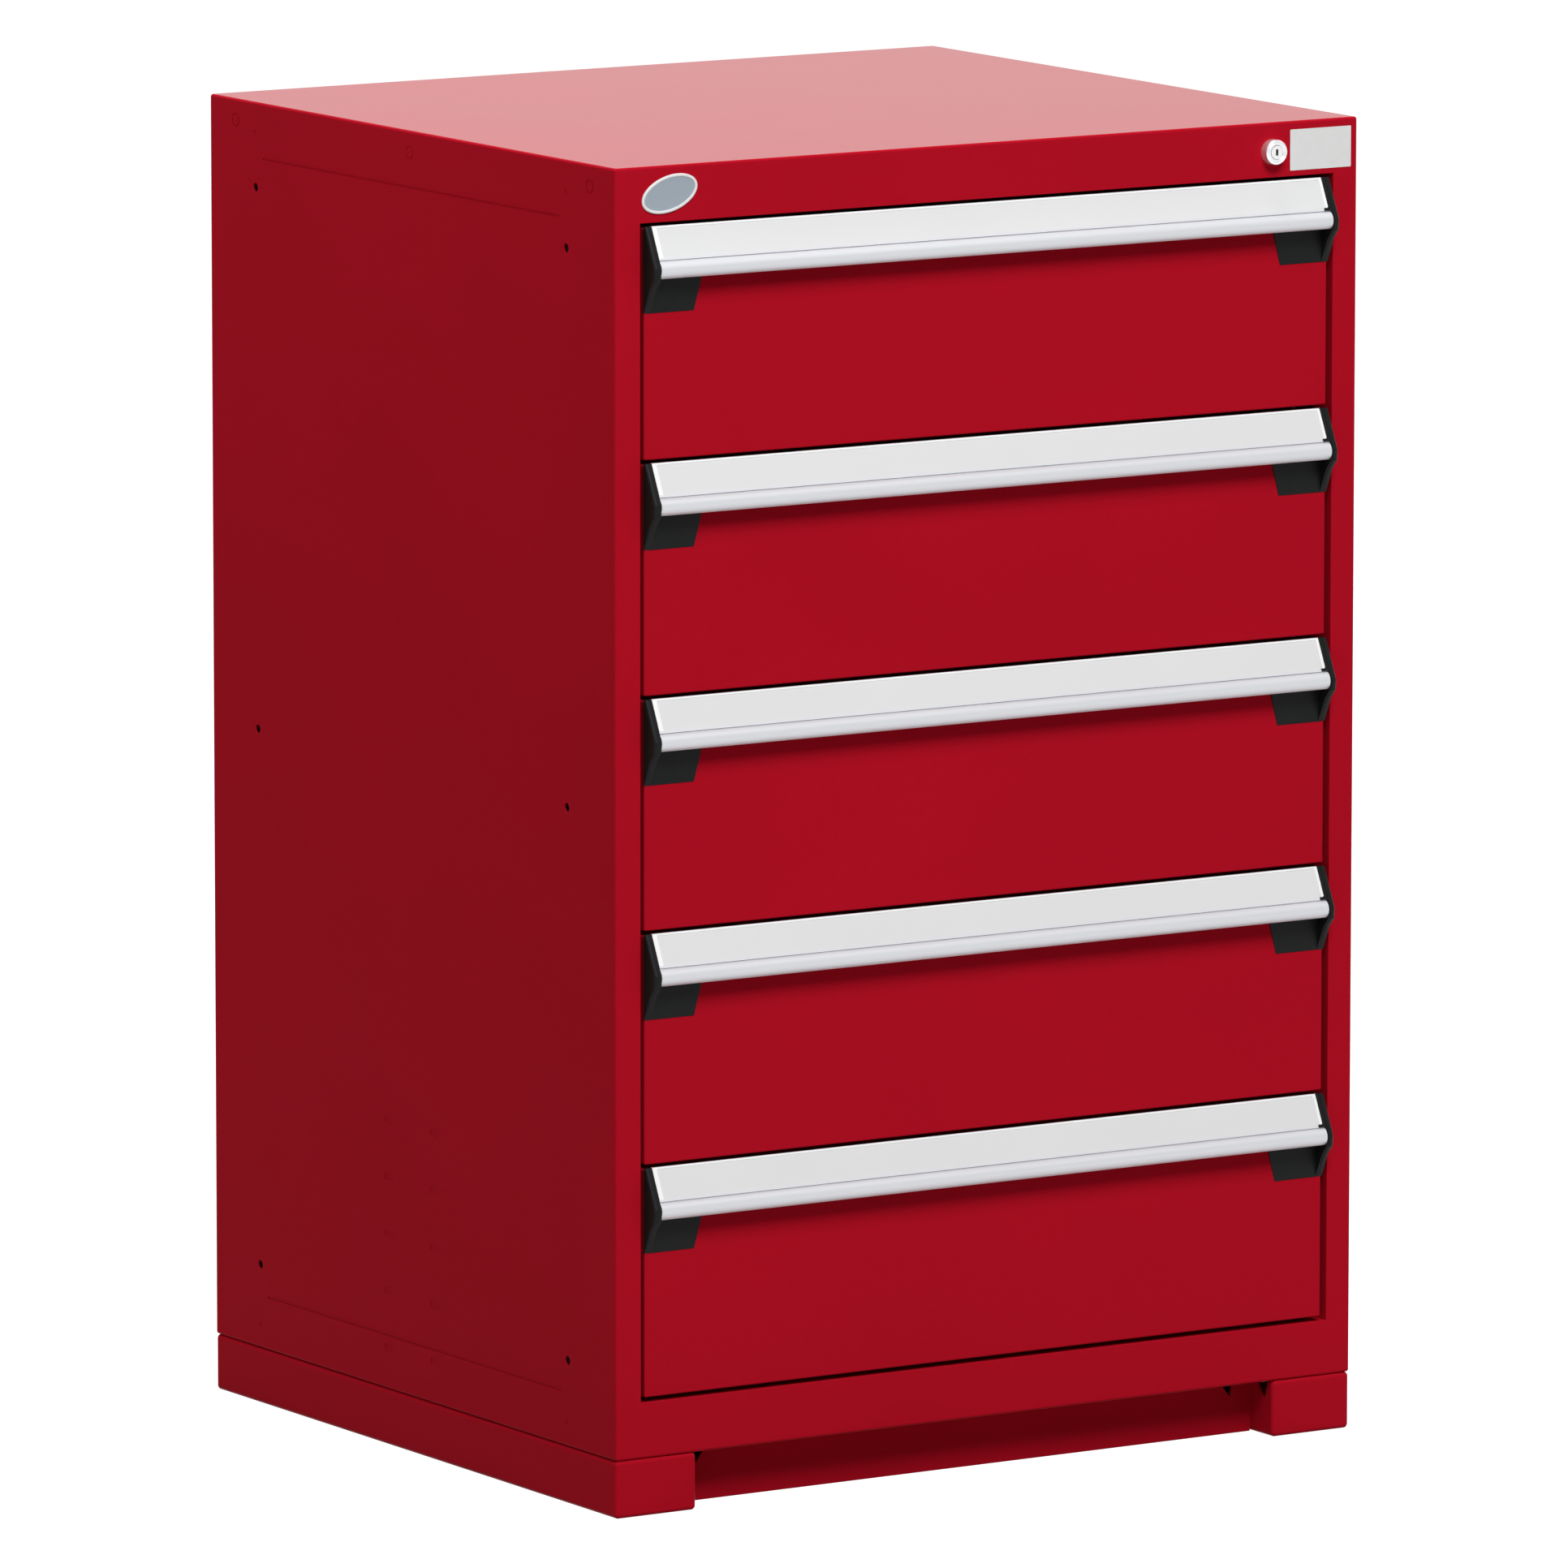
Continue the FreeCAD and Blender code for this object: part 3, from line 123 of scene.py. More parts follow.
class CABINET_PG_sizes(bpy.types.PropertyGroup):
    """Sizes of the trim that is made here."""

    face_top_out: length("Face top", "How far the handle's face starts in front of the drawer", 1.2)
    face_foot_out: length("Face foot", "How far the handle's face ends in front of the drawer", 14.4)
    face_drop: length("Face drop", "Height of the handle's sloped face", 28.0)
    lip_centre_out: length("Lip centre", "Centre of the lip's round, in front of the drawer", 11.1)
    lip_centre_drop: length("Lip centre drop", "Centre of the lip's round, below the top", 36.7)
    lip_radius: length("Lip radius", "Radius of the cap's edge round the lip", 8.1)
    lip_foot_drop: length("Lip foot drop", "Where the cap's edge turns back below the lip", 44.8)
    lip_tuck: length("Lip tuck", "How far the cap's edge tucks in below the lip", 0.5)
    knee_out: length("Knee", "How far the cap's knee is in front of the drawer", 11.3)
    knee_drop: length("Knee drop", "How far the cap's knee is below the top", 53.0)
    rim_round: length("Rim round", "Rounding of the cap's outer edge", 2.5)
    rim_ledge: length("Rim ledge", "Width of the cap's ledge beside the handle", 1.7)
    rim_step: length("Rim step", "How far the cap's rim stands out of the ledge", 0.7)
    block_drop: length("Block drop", "Where the block below the lip starts", 42.0)
    block_top_out: length("Block top", "How far the block's top is in front of the drawer", 1.5)
    block_foot_out: length("Block foot", "How far the block's foot is in front of the drawer", 0.4)
    block_top_width: length("Block top width", "Width of the cap's block at its top", 57.9)
    block_foot_width: length("Block foot width", "Width of the cap's block at its foot", 49.7)
    cap_edge: length("Cap edge", "Rounding of the cap's edges", 0.7)
    cap_least: length("Cap least", "The least that the cap's edge stands out", 0.3)
    lap_width: length("Lap width", "How far the right cap laps the handle's face", 1.8)
    lap_height: length("Lap height", "How far the lap stands out of the face", 0.9)
    lap_round: length("Lap round", "Round where the lap meets its tab", 1.6)
    tab_length: length("Tab length", "Length of the tab at the lap's foot", 4.4)
    tab_height: length("Tab height", "Height of the tab at the lap's foot", 2.6)
    label_depth: length("Label depth", "Floor of the label's pocket, below the face", 0.8)
    label_sink: length("Label sink", "How far the label lies below the face", 0.15)
    label_margin: length("Label margin", "Metal left above and below the label", 1.8)
    label_corner: length("Label corner", "Rounding of the label's corners", 0.8)
    label_edge: length("Label edge", "Rounding of the label's edges", 0.1)
    rim_side: length("Rim side", "Width of the label's clear rim at its ends", 4.2)
    rim_head: length("Rim head", "Width of the label's clear rim along its top", 1.4)
    rim_corner: length("Rim corner", "Rounding of the clear rim's corners", 2.4)
    rim_height: length("Rim height", "How far the clear rim stands out of the face", 0.25)
    sticker_width: length("Sticker width", "Width of the blank sticker", 64.0)
    sticker_height: length("Sticker height", "Height of the blank sticker", 36.0)
    sticker_corner: length("Sticker corner", "Rounding of the sticker's corners", 0.9)
    sticker_thickness: length("Sticker thickness", "Thickness of the sticker", 0.2)
    sticker_inset: length("Sticker inset", "From the cabinet's right side to the sticker", 7.0)
    sticker_drop: length("Sticker drop", "From the cabinet's top to the sticker", 7.4)
    badge_length: length("Badge length", "Long axis of the badge", 57.0)
    badge_height: length("Badge height", "Short axis of the badge", 31.0)
    badge_thickness: length("Badge thickness", "Height of the badge's rim", 1.6)
    badge_rim: length("Badge rim", "Width of the badge's rim", 2.6)
    badge_tilt: bpy.props.FloatProperty(
        name="Badge tilt", description="Slant of the badge", default=math.radians(16), subtype="ANGLE"
    )
    barrel_body: length("Barrel body", "Diameter of the lock behind the panel", 19.0)
    barrel_length: length("Barrel length", "Length of the lock behind the panel", 24.0)
    barrel_bore: length("Barrel bore", "Diameter of the hole for the plug", 12.6)
    barrel_round: length("Barrel round", "Rounding of the lock's face at its edge", 1.6)
    groove_half: length("Groove half", "Half the width of the groove in the lock's face", 0.4)
    groove_depth: length("Groove depth", "Depth of the groove in the lock's face", 0.35)
    bore_chamfer: length("Bore chamfer", "Chamfer of the hole for the plug", 0.5)
    keyway_width: length("Keyway width", "Width of the slot in the plug", 2.4)
    keyway_height: length("Keyway height", "Height of the slot in the plug", 5.6)
    # The next four sizes are for the dark plate in the keyway, which is painted shade.
    shadow_plate_depth: length("Shutter depth", "How deep the dark plate lies in the slot", 1.2)
    shadow_plate_thickness: length("Shutter thickness", "Thickness of the dark plate", 1.0)
    shadow_plate_corner: length("Shutter corner", "Rounding of the dark plate's corners", 0.3)
    shadow_plate_edge: length("Shutter edge", "Rounding of the dark plate's edges", 0.1)
    ridge_width: length("Ridge width", "Width of the keyway's ridge", 0.96)
    ridge_height: length("Ridge height", "Height of the keyway's ridge", 1.68)
    ridge_aside: length("Ridge aside", "From the middle of the slot to its ridge", 0.72)
    ridge_corner: length("Ridge corner", "Rounding of the keyway ridge's corners", 0.2)
    ridge_rise: length("Ridge rise", "How far the keyway's ridge stands out of the plate", 0.8)
    ridge_root: length("Ridge root", "How far the keyway's ridge reaches into the plate", 0.2)
    plug_recess: length("Plug recess", "How far the plug lies behind the lock's face", 0.4)
    axle_head: length("Axle head", "Diameter of the rivet heads of the roller axles", 9.0)
    axle_head_height: length("Axle head height", "Height of the rivet heads", 1.8)
    axle_margin: length("Axle margin", "From the end of a rail to a roller's axle", 15.0)
    carriage_overhang: length("Carriage overhang", "How far the carriage passes the drawer rail", 14.0)


class CABINET_PG_studio(bpy.types.PropertyGroup):
    """Light, floor and camera."""

    ambient: share("Ambient", "Light from the room on every side", 0.16)
    floor: share("Floor", "Grey value of the floor", 0.45)
    floor_shade: share("Floor shade", "How much of the floor's look depends on light", 0.35)
    floor_glow: share("Floor glow", "How much of the floor's white doesn't depend on light", 0.94)
    key_power: bpy.props.FloatProperty(
        name="Key", description="Power of the large lamp in front and above", default=825.0, unit="POWER"
    )
    top_power: bpy.props.FloatProperty(
        name="Top", description="Power of the lamp above the cabinet", default=61.5, unit="POWER"
    )
    side_power: bpy.props.FloatProperty(
        name="Side", description="Power of the small lamp to the left", default=12.4, unit="POWER"
    )
    fill_power: bpy.props.FloatProperty(
        name="Fill", description="Power of the soft lamp to the right", default=260, unit="POWER"
    )


class Value:
    """An output of a node. Sums on it add Math nodes."""

    def __init__(self, graph, socket):
        self.graph = graph
        self.socket = socket

    def maths(self, operation, first, second):
        return self.graph.node("ShaderNodeMath", {"operation": operation}, {0: first, 1: second})

    def __add__(self, other):
        return self.maths("ADD", self, other)

    def __radd__(self, other):
        return self.maths("ADD", other, self)

    def __mul__(self, other):
        return self.maths("MULTIPLY", self, other)

    def __rmul__(self, other):
        return self.maths("MULTIPLY", other, self)

    def __gt__(self, other):
        return self.maths("GREATER_THAN", self, other)

    def __lt__(self, other):
        return self.maths("LESS_THAN", self, other)


class Graph:
    """A node tree. Every node comes from its one method."""

    def __init__(self, tree):
        self.tree = tree
        tree.nodes.clear()

    def node(self, kind, settings, inputs, output=0):
        """Add a node, set it up, then fill its sockets with values or links."""
        made = self.tree.nodes.new(kind)
        for name, setting in settings.items():
            setattr(made, name, setting)
        for socket, value in inputs.items():
            if isinstance(value, Value):
                self.tree.links.new(value.socket, made.inputs[socket])
            else:
                made.inputs[socket].default_value = value
        return Value(self, made.outputs[output]) if made.outputs else None

    def slant_gloss(self):
        """Gloss that shows only where a surface is seen at a slant."""
        facing = self.node("ShaderNodeLayerWeight", {}, {"Blend": 0.5}, "Facing")
        square = facing * facing
        fourth = square * square
        gloss = 1.75 * fourth * fourth
        return self.node("ShaderNodeMath", {"operation": "MINIMUM"}, {0: gloss, 1: 1.0})

    def place(self):
        """Where a point of the surface is, in metres."""
        return self.node("ShaderNodeTexCoord", {}, {}, "Object")

    def stretched(self, x, y, z):
        """Places scaled by a different amount along each axis."""
        return self.node("ShaderNodeVectorMath", {"operation": "MULTIPLY"}, {0: self.place(), 1: (x, y, z)})

    def noise(self, place, scale, detail=2.0):
        return self.node("ShaderNodeTexNoise", {}, {"Vector": place, "Scale": scale, "Detail": detail})

    def blend(self, factor, first, second):
        """A colour between two."""
        inputs = {MIX_FACTOR: factor, MIX_FIRST: (*first, 1), MIX_SECOND: (*second, 1)}
        return self.node("ShaderNodeMix", {"data_type": "RGBA"}, inputs, MIX_RESULT)

    def bump(self, height, depth):
        """A normal from a height of 0 to 1 that stands for this depth in metres."""
        return self.node("ShaderNodeBump", {}, {"Height": height, "Strength": 1.0, "Distance": depth})


def make_material(name, build):
    """A material whose Principled sockets come from a function of its graph."""
    material = bpy.data.materials.new(name)
    material.use_nodes = True
    graph = Graph(material.node_tree)
    shader = graph.node("ShaderNodeBsdfPrincipled", {}, build(graph))
    graph.node("ShaderNodeOutputMaterial", {}, {"Surface": shader})
    return material


def tint(value, amount):
    """The same colour, lighter or darker."""
    return [min(1.0, part * amount) for part in value]


def powder_coat(paint):
    """Gloss powder coat: an orange peel of low waves, and faint clouds of tone and gloss."""

    def build(graph):
        place = graph.place()
        peel = graph.noise(place, 260.0)
        grain = graph.noise(place, 1500.0)
        cloud = graph.noise(place, 3.5, 3.0)
        return {
            "Base Color": graph.blend(cloud, tint(paint, 0.93), tint(paint, 1.07)),
            "Roughness": 0.24 + cloud * 0.08 + grain * 0.04,
            "Specular IOR Level": 0.004,
            "Coat Weight": graph.slant_gloss(),
            "Coat Roughness": 0.14,
            "Normal": graph.bump(peel * 0.8 + grain * 0.2, 0.00005),
        }

    return make_material("powder_coat", build)


def satin_aluminium(base):
    """Drawn aluminium: fine lines along the extrusion."""

    def build(graph):
        lines = graph.noise(graph.stretched(3.0, 2600.0, 2600.0), 1.0, 3.0)
        cloud = graph.noise(graph.stretched(4.0, 20.0, 20.0), 1.0)
        return {
            "Base Color": graph.blend(lines, tint(base, 0.95), tint(base, 1.04)),
            "Metallic": 0.35,
            "Specular IOR Level": 0.2,
            "Roughness": 0.36 + lines * 0.10 + cloud * 0.06,
            "Normal": graph.bump(lines, 0.00001),
        }

    return make_material("satin_aluminium", build)


def label_card(name, base):
    """A plain card under a clear strip, with a little tooth."""

    def build(graph):
        fibre = graph.noise(graph.place(), 900.0, 3.0)
        cloud = graph.noise(graph.place(), 9.0)
        return {
            "Base Color": graph.blend(cloud, tint(base, 0.98), tint(base, 1.02)),
            "Roughness": 0.42 + fibre * 0.10,
            "Specular IOR Level": 0.3,
            "Coat Weight": 0.25,
            "Coat Roughness": 0.2,
            "Normal": graph.bump(fibre, 0.00001),
        }

    return make_material(name, build)


def moulded_plastic(base):
    """Black moulded plastic with a fine spark texture and a random mottle of lighter and darker tone."""

    def build(graph):
        spark = graph.noise(graph.place(), 1400.0, 3.0)
        rub = graph.noise(graph.place(), 60.0, 3.0)
        return {
            "Base Color": graph.blend(rub, tint(base, 0.8), tint(base, 1.5)),
            "Roughness": 0.40 + spark * 0.14,
            "Specular IOR Level": 0.11,
            "Normal": graph.bump(spark, 0.00004),
        }

    return make_material("moulded_plastic", build)


def polished_chrome(base):
    """Bright plating with a soft shine and a trace of fingerprints."""

    def build(graph):
        smear = graph.noise(graph.place(), 160.0, 3.0)
        return {
            "Base Color": graph.blend(smear, tint(base, 0.96), tint(base, 1.03)),
            "Metallic": 0.8,
            "Roughness": 0.24 + smear * 0.10,
        }

    return make_material("polished_chrome", build)


def plated_steel(base):
    """Bright zinc plate with a fine spangle and rolling lines."""

    def build(graph):
        cells = graph.node(
            "ShaderNodeTexVoronoi", {}, {"Vector": graph.place(), "Scale": 260.0}, "Color"
        )
        spangle = graph.node("ShaderNodeSeparateColor", {}, {0: cells})
        rolled = graph.noise(graph.stretched(900.0, 8.0, 900.0), 1.0)
        stain = graph.noise(graph.place(), 12.0, 3.0)
        return {
            "Base Color": graph.blend(spangle * 0.5 + stain * 0.5, tint(base, 0.82), tint(base, 1.12)),
            "Metallic": 1.0,
            "Roughness": 0.27 + spangle * 0.08 + rolled * 0.10,
            "Normal": graph.bump(rolled, 0.00001),
        }

    return make_material("plated_steel", build)


def moulded_rubber(base):
    """Dull black rubber with dust in its pores."""

    def build(graph):
        pores = graph.noise(graph.place(), 1100.0, 3.0)
        return {
            "Base Color": graph.blend(pores, tint(base, 0.8), tint(base, 1.8)),
            "Roughness": 0.78 + pores * 0.12,
            "Normal": graph.bump(pores, 0.00006),
        }

    return make_material("moulded_rubber", build)


def badge_enamel(name, base, metallic):
    """The satin field or light rim of the badge, with a fine brushing."""

    def build(graph):
        brushed = graph.noise(graph.stretched(120.0, 120.0, 2400.0), 1.0)
        return {
            "Base Color": graph.blend(brushed, tint(base, 0.93), tint(base, 1.07)),
            "Metallic": metallic,
            "Roughness": 0.34 + brushed * 0.12,
            "Normal": graph.bump(brushed, 0.00001),
        }

    return make_material(name, build)


def vinyl_sheet(base):
    """White vinyl with faint ripples where it was pressed on."""

    def build(graph):
        ripple = graph.noise(graph.place(), 90.0, 2.0)
        fleck = graph.noise(graph.place(), 1200.0)
        return {
            "Base Color": graph.blend(ripple, tint(base, 0.96), tint(base, 1.03)),
            "Roughness": 0.34 + fleck * 0.10,
            "Specular IOR Level": 0.3,
            "Normal": graph.bump(ripple, 0.00008),
        }

    return make_material("vinyl_sheet", build)


def coat(material, *nodes):
    """Give carried-over solids their finish."""
    for name in nodes:
        slots = frame["nodes"][name].data.materials
        slots.clear()
        slots.append(material)


def numbered(*names):
    """Node names of every drawer."""
    return [f"{name}_{number}" for name in names for number in DRAWERS]


def add_loft(shape, loops):
    """A closed solid through loops of points, each with as many points as the last."""
    rows = [[shape.verts.new(point) for point in loop] for loop in loops]
    shape.faces.new(rows[0])
    shape.faces.new(rows[-1])
    add_walls(shape, rows)


def add_ring(shape, loops):
    """A closed ring through loops of points, the last of which joins the first."""
    rows = [[shape.verts.new(point) for point in loop] for loop in loops]
    add_walls(shape, rows + rows[:1])


def add_walls(shape, rows):
    for lower, upper in zip(rows, rows[1:]):
        for index in range(len(lower)):
            following = (index + 1) % len(lower)
            shape.faces.new((lower[index], lower[following], upper[following], upper[index]))


def arc(centre, radius, start, end, steps):
    """Points on an arc, with angles in degrees."""
    points = []
    for step in range(steps + 1):
        angle = math.radians(start + (end - start) * step / steps)
        points.append((centre[0] + radius * math.cos(angle), centre[1] + radius * math.sin(angle)))
    return points


def circle(centre, radius, steps):
    """Points all round a circle, without the first one again."""
    return arc(centre, radius, 0, 360 - 360 / steps, steps - 1)


def rounded_rectangle(width, height, radius, steps=6):
    """Outline of a rectangle round the origin, with round corners."""
    across = width / 2 - radius
    up = height / 2 - radius
    outline = []
    for turn, (x, y) in enumerate(((across, up), (-across, up), (-across, -up), (across, -up))):
        outline += arc((x, y), radius, 90 * turn, 90 * turn + 90, steps)
    return outline


def ellipse(half_length, half_height, inset):
    """Outline of an ellipse whose edge is moved inwards by the same amount all round."""
    points = []
    for step in range(ROUND_STEPS):
        angle = math.tau * step / ROUND_STEPS
        place = Vector((half_length * math.cos(angle), half_height * math.sin(angle)))
        outwards = Vector((half_height * math.cos(angle), half_length * math.sin(angle))).normalized()
        points.append(place - inset * outwards)
    return points


def on_front(centre, point, out):
    """A place this far in front of the cabinet, from a centre (x, z) and a step in its plane."""
    return (centre[0] + point[0], FRONT_Y - out, centre[1] + point[1])


def make_piece(name, shape, material, body, edge=0.0):
    """Make a piece of the cabinet from a worked shape, with its edges rounded."""
    bmesh.ops.recalc_face_normals(shape, faces=shape.faces)
    data = bpy.data.meshes.new(name)
    shape.to_mesh(data)
    shape.free()
    data.materials.append(material)
    data.shade_smooth()
    piece = bpy.data.objects.new(name, data)
    bpy.context.scene.collection.objects.link(piece)
    if edge:
        bevel = piece.modifiers.new("Rounded edges", "BEVEL")
        bevel.width = edge
        bevel.segments = EDGE_SEGMENTS
        bevel.limit_method = "ANGLE"
        bevel.angle_limit = SHARP_ANGLE
        bevel.harden_normals = True
    else:
        data.set_sharp_from_angle(angle=SHARP_ANGLE)
    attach(piece, body)
    return piece


class CABINET_OT_coat_sheet_metal(bpy.types.Operator):
    """Powder coat the housing, the base and the drawers"""

    bl_idname = "cabinet.coat_sheet_metal"
    bl_label = "Coat sheet metal"

    def execute(self, context):
        paint = powder_coat(context.scene.cabinet_colours.paint)
        coat(paint, "left_side_panel", "right_side_panel", "top_panel", "bottom_panel", "back_panel")
        coat(paint, "left_base_channel", "right_base_channel", "kick_plate", "base_rear_channel")
        coat(paint, *numbered("drawer_front", "drawer_tray"))
        return {"FINISHED"}


class CABINET_OT_plate_slides(bpy.types.Operator):
    """Plate the slides, uprights, bolts and lock parts, and fit the rubber bumpers"""

    bl_idname = "cabinet.plate_slides"
    bl_label = "Plate slides"

    def execute(self, context):
        colours = context.scene.cabinet_colours
        zinc = plated_steel(colours.zinc)
        coat(zinc, "slotted_uprights", "base_bolts", "lock_nut", "lock_bar_guides", "lock_bar", "lock_cam")
        coat(zinc, *numbered("cabinet_rails", "drawer_rails", "carriages"))
        coat(moulded_rubber(colours.rubber), "rail_bumpers")
        return {"FINISHED"}


def axle_places(number, sizes):
    """The height of a carriage's axles, and how far back its outer and inner ones lie."""
    low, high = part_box(f"carriages_{number}")
    half_travel = next(
        joint["range_m"][1] for joint in frame["joints"] if joint["name"] == f"carriage_{number}_slide"
    )
    height = (low.z + high.z) / 2
    outer = [low.y + half_travel + sizes.axle_margin, high.y - sizes.axle_margin]
    inner = [low.y + sizes.axle_margin, high.y - sizes.carriage_overhang - half_travel - sizes.axle_margin]
    return height, outer, inner


def carriage_plate(number):
    """The two faces of the right carriage's plate, read from the solid's own faces."""
    flat = {}
    for polygon in frame["nodes"][f"carriages_{number}"].data.polygons:
        if abs(polygon.normal.x) > 0.99 and polygon.center.x > 0:
            place = round(polygon.center.x, 5)
            flat[place] = flat.get(place, 0) + polygon.area
    return sorted(sorted(flat, key=flat.get)[-2:])


class CABINET_OT_rivet_carriages(bpy.types.Operator):
    """Put a domed rivet head on the axle of every roller of the slides"""

    bl_idname = "cabinet.rivet_carriages"
    bl_label = "Rivet carriages"

    def execute(self, context):
        sizes = context.scene.cabinet_sizes
        zinc = bpy.data.materials["plated_steel"]
        radius = sizes.axle_head / 2
        rise = sizes.axle_head_height
        profile = [(radius, -rise * 0.3), (radius, 0), (radius * 0.93, rise * 0.45)]
        profile += [(radius * 0.7, rise * 0.8), (radius * 0.35, rise), (radius * 0.1, rise)]
        for number in DRAWERS:
            height, outer, inner = axle_places(number, sizes)
            plate_inner, plate_outer = carriage_plate(number)
            shape = bmesh.new()
            for side in (-1, 1):
                for y in outer:
                    self.add_head(shape, side, plate_inner, -1, y, height, profile)
                for y in inner:
                    self.add_head(shape, side, plate_outer, 1, y, height, profile)
            make_piece(f"axle_rivets_{number}", shape, zinc, f"carriage_{number}")
        return {"FINISHED"}

    def add_head(self, shape, side, x, facing, y, z, profile):
        loops = []
        for radius, rise in profile:
            ring = circle((y, z), radius, RIVET_STEPS)
            loops.append([(side * (x + facing * rise), *point) for point in ring])
        add_loft(shape, loops)


class CABINET_OT_finish_handles(bpy.types.Operator):
    """Give the handle extrusions their satin metal"""

    bl_idname = "cabinet.finish_handles"
    bl_label = "Finish handles"

    def execute(self, context):
        coat(satin_aluminium(context.scene.cabinet_colours.aluminium), *numbered("handle"))
        return {"FINISHED"}


def face_point(sizes, top, x, along, raised):
    """A place on a handle's sloped face, from its top edge downwards, raised out of the face."""
    slope = Vector((sizes.face_foot_out - sizes.face_top_out, sizes.face_drop))
    down = slope.normalized()
    out = sizes.face_top_out + along * down.x + raised * down.y
    drop = along * down.y - raised * down.x
    return (x, FRONT_Y - out, top - drop)


def face_length(sizes):
    return math.hypot(sizes.face_foot_out - sizes.face_top_out, sizes.face_drop)


class CABINET_OT_fit_labels(bpy.types.Operator):
    """Lay a plain card in the pocket of every handle, with a raised rim round it painted near-white as the
    highlight on the clear cover's edge
    """

    bl_idname = "cabinet.fit_labels"
    bl_label = "Fit labels"

    def execute(self, context):
        sizes = context.scene.cabinet_sizes
        colours = context.scene.cabinet_colours
        card = label_card("label_card", colours.label)
        # The rim's near-white colour is a painted highlight of the clear cover's edge.
        clear = label_card("label_rim", colours.label_rim)
        for number in DRAWERS:
            low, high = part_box(f"label_strip_{number}")
            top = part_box(f"handle_{number}")[1].z
            along = face_length(sizes) / 2
            width = high.x - low.x
            height = face_length(sizes) - 2 * sizes.label_margin
            outline = rounded_rectangle(width, height, sizes.label_corner)
            centre = (low.x + high.x) / 2
            loops = []
            for raised in (-sizes.label_depth, -sizes.label_sink):
                loops.append([face_point(sizes, top, centre + x, along + y, raised) for x, y in outline])
            shape = bmesh.new()
            add_loft(shape, loops)
            name = f"label_card_{number}"
            piece = make_piece(name, shape, card, f"drawer_{number}", sizes.label_edge)
            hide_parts(f"label_strip_{number}")
            shape = bmesh.new()
            self.add_rim(shape, sizes, top, centre, width / 2)
            name = f"label_rim_{number}"
            make_piece(name, shape, clear, f"drawer_{number}", sizes.label_edge)
        return {"FINISHED"}

    def add_rim(self, shape, sizes, top, centre, half):
        """The raised rim along the label's top and both ends, painted near-white as a highlight."""
        foot = face_length(sizes) - sizes.label_margin
        head = sizes.label_margin - sizes.rim_head
        outline = self.arch(half + sizes.rim_side, head, foot, sizes.rim_corner)
        outline += reversed(self.arch(half, sizes.label_margin, foot, sizes.label_corner))
        loops = []
        for raised in (-sizes.label_sink, sizes.rim_height):
            loops.append([face_point(sizes, top, centre + x, along, raised) for x, along in outline])
        add_loft(shape, loops)

    def arch(self, half, head, foot, corner):
        """Points up one end, along the top and down the other end, with round corners."""
        right = arc((half - corner, head + corner), corner, 0, -90, CORNER_STEPS)
        left = [(-x, along) for x, along in reversed(right)]
        return [(half, foot)] + right + left + [(-half, foot)]


def cap_profile(sizes, foot_drop):
    """The cap's edge as (out, drop), from the top down round the lip and the knee to the foot."""
    centre = (sizes.lip_centre_out, sizes.lip_centre_drop)
    down = Vector((sizes.face_foot_out - sizes.face_top_out, sizes.face_drop)).normalized()
    upper = -math.degrees(math.atan2(down.x, down.y))
    lip = arc(centre, sizes.lip_radius, upper, LIP_END_DEGREES, LIP_STEPS)
    start_out = lip[0][0] - lip[0][1] * down.x / down.y
    below = [(lip[-1][0] - sizes.lip_tuck, sizes.lip_foot_drop), (sizes.knee_out, sizes.knee_drop)]
    return [(0.0, 0.0), (start_out, 0.0)] + lip + below + [(0.0, foot_drop)]


def add_cap(shape, sizes, across, halves, top, foot_drop):
    """One end cap: a plate with a round outer edge over the handle's end, and a block below the lip."""
    middle, side = across
    plate_half, front_half, end_half = halves

    def places(points):
        return [(middle + side * x, FRONT_Y - out, top - drop) for x, out, drop in points]

    profile = cap_profile(sizes, foot_drop)
    ledge_half = plate_half + sizes.rim_ledge
    sections = [(plate_half, sizes.rim_step), (ledge_half, sizes.rim_step), (ledge_half, 0.0)]
    round_centre = (end_half - sizes.rim_round, sizes.rim_round)
    sections += arc(round_centre, sizes.rim_round, -90, 0, CORNER_STEPS)
    loops = []
    for x, inset in sections:
        edge = [(max(out - inset, sizes.cap_least) if out else 0.0, drop) for out, drop in profile]
        loops.append(places((x, *point) for point in edge))
    add_loft(shape, loops)
    block = [(0.0, sizes.block_drop, sizes.block_top_width)]
    block += [(sizes.block_top_out, sizes.block_drop, sizes.block_top_width)]
    block += [(sizes.block_foot_out, foot_drop, sizes.block_foot_width)]
    block += [(0.0, foot_drop, sizes.block_foot_width)]
    inner = places((front_half - width, out, drop) for out, drop, width in block)
    outer = places(((plate_half + end_half) / 2, out, drop) for out, drop, width in block)
    add_loft(shape, [inner, outer])


def half_width(box):
    return (box[1].x - box[0].x) / 2


def add_lap(shape, sizes, top, plate_x):
    """The right cap's lap over the end of the handle's face, with the tab at its foot."""
    foot = face_length(sizes)
    tab_top = foot - sizes.tab_height
    edge_x = plate_x - sizes.lap_width
    round_centre = (edge_x - sizes.lap_round, tab_top - sizes.lap_round)
    corner = arc(round_centre, sizes.lap_round, 0, 90, CORNER_STEPS)
    outline = [(plate_x, 0.0), (edge_x, 0.0)] + corner
    outline += [(edge_x - sizes.tab_length, tab_top), (edge_x - sizes.tab_length, foot), (plate_x, foot)]
    loops = []
    for raised in (-sizes.label_depth, sizes.lap_height):
        loops.append([face_point(sizes, top, x, along, raised) for x, along in outline])
    add_loft(shape, loops)


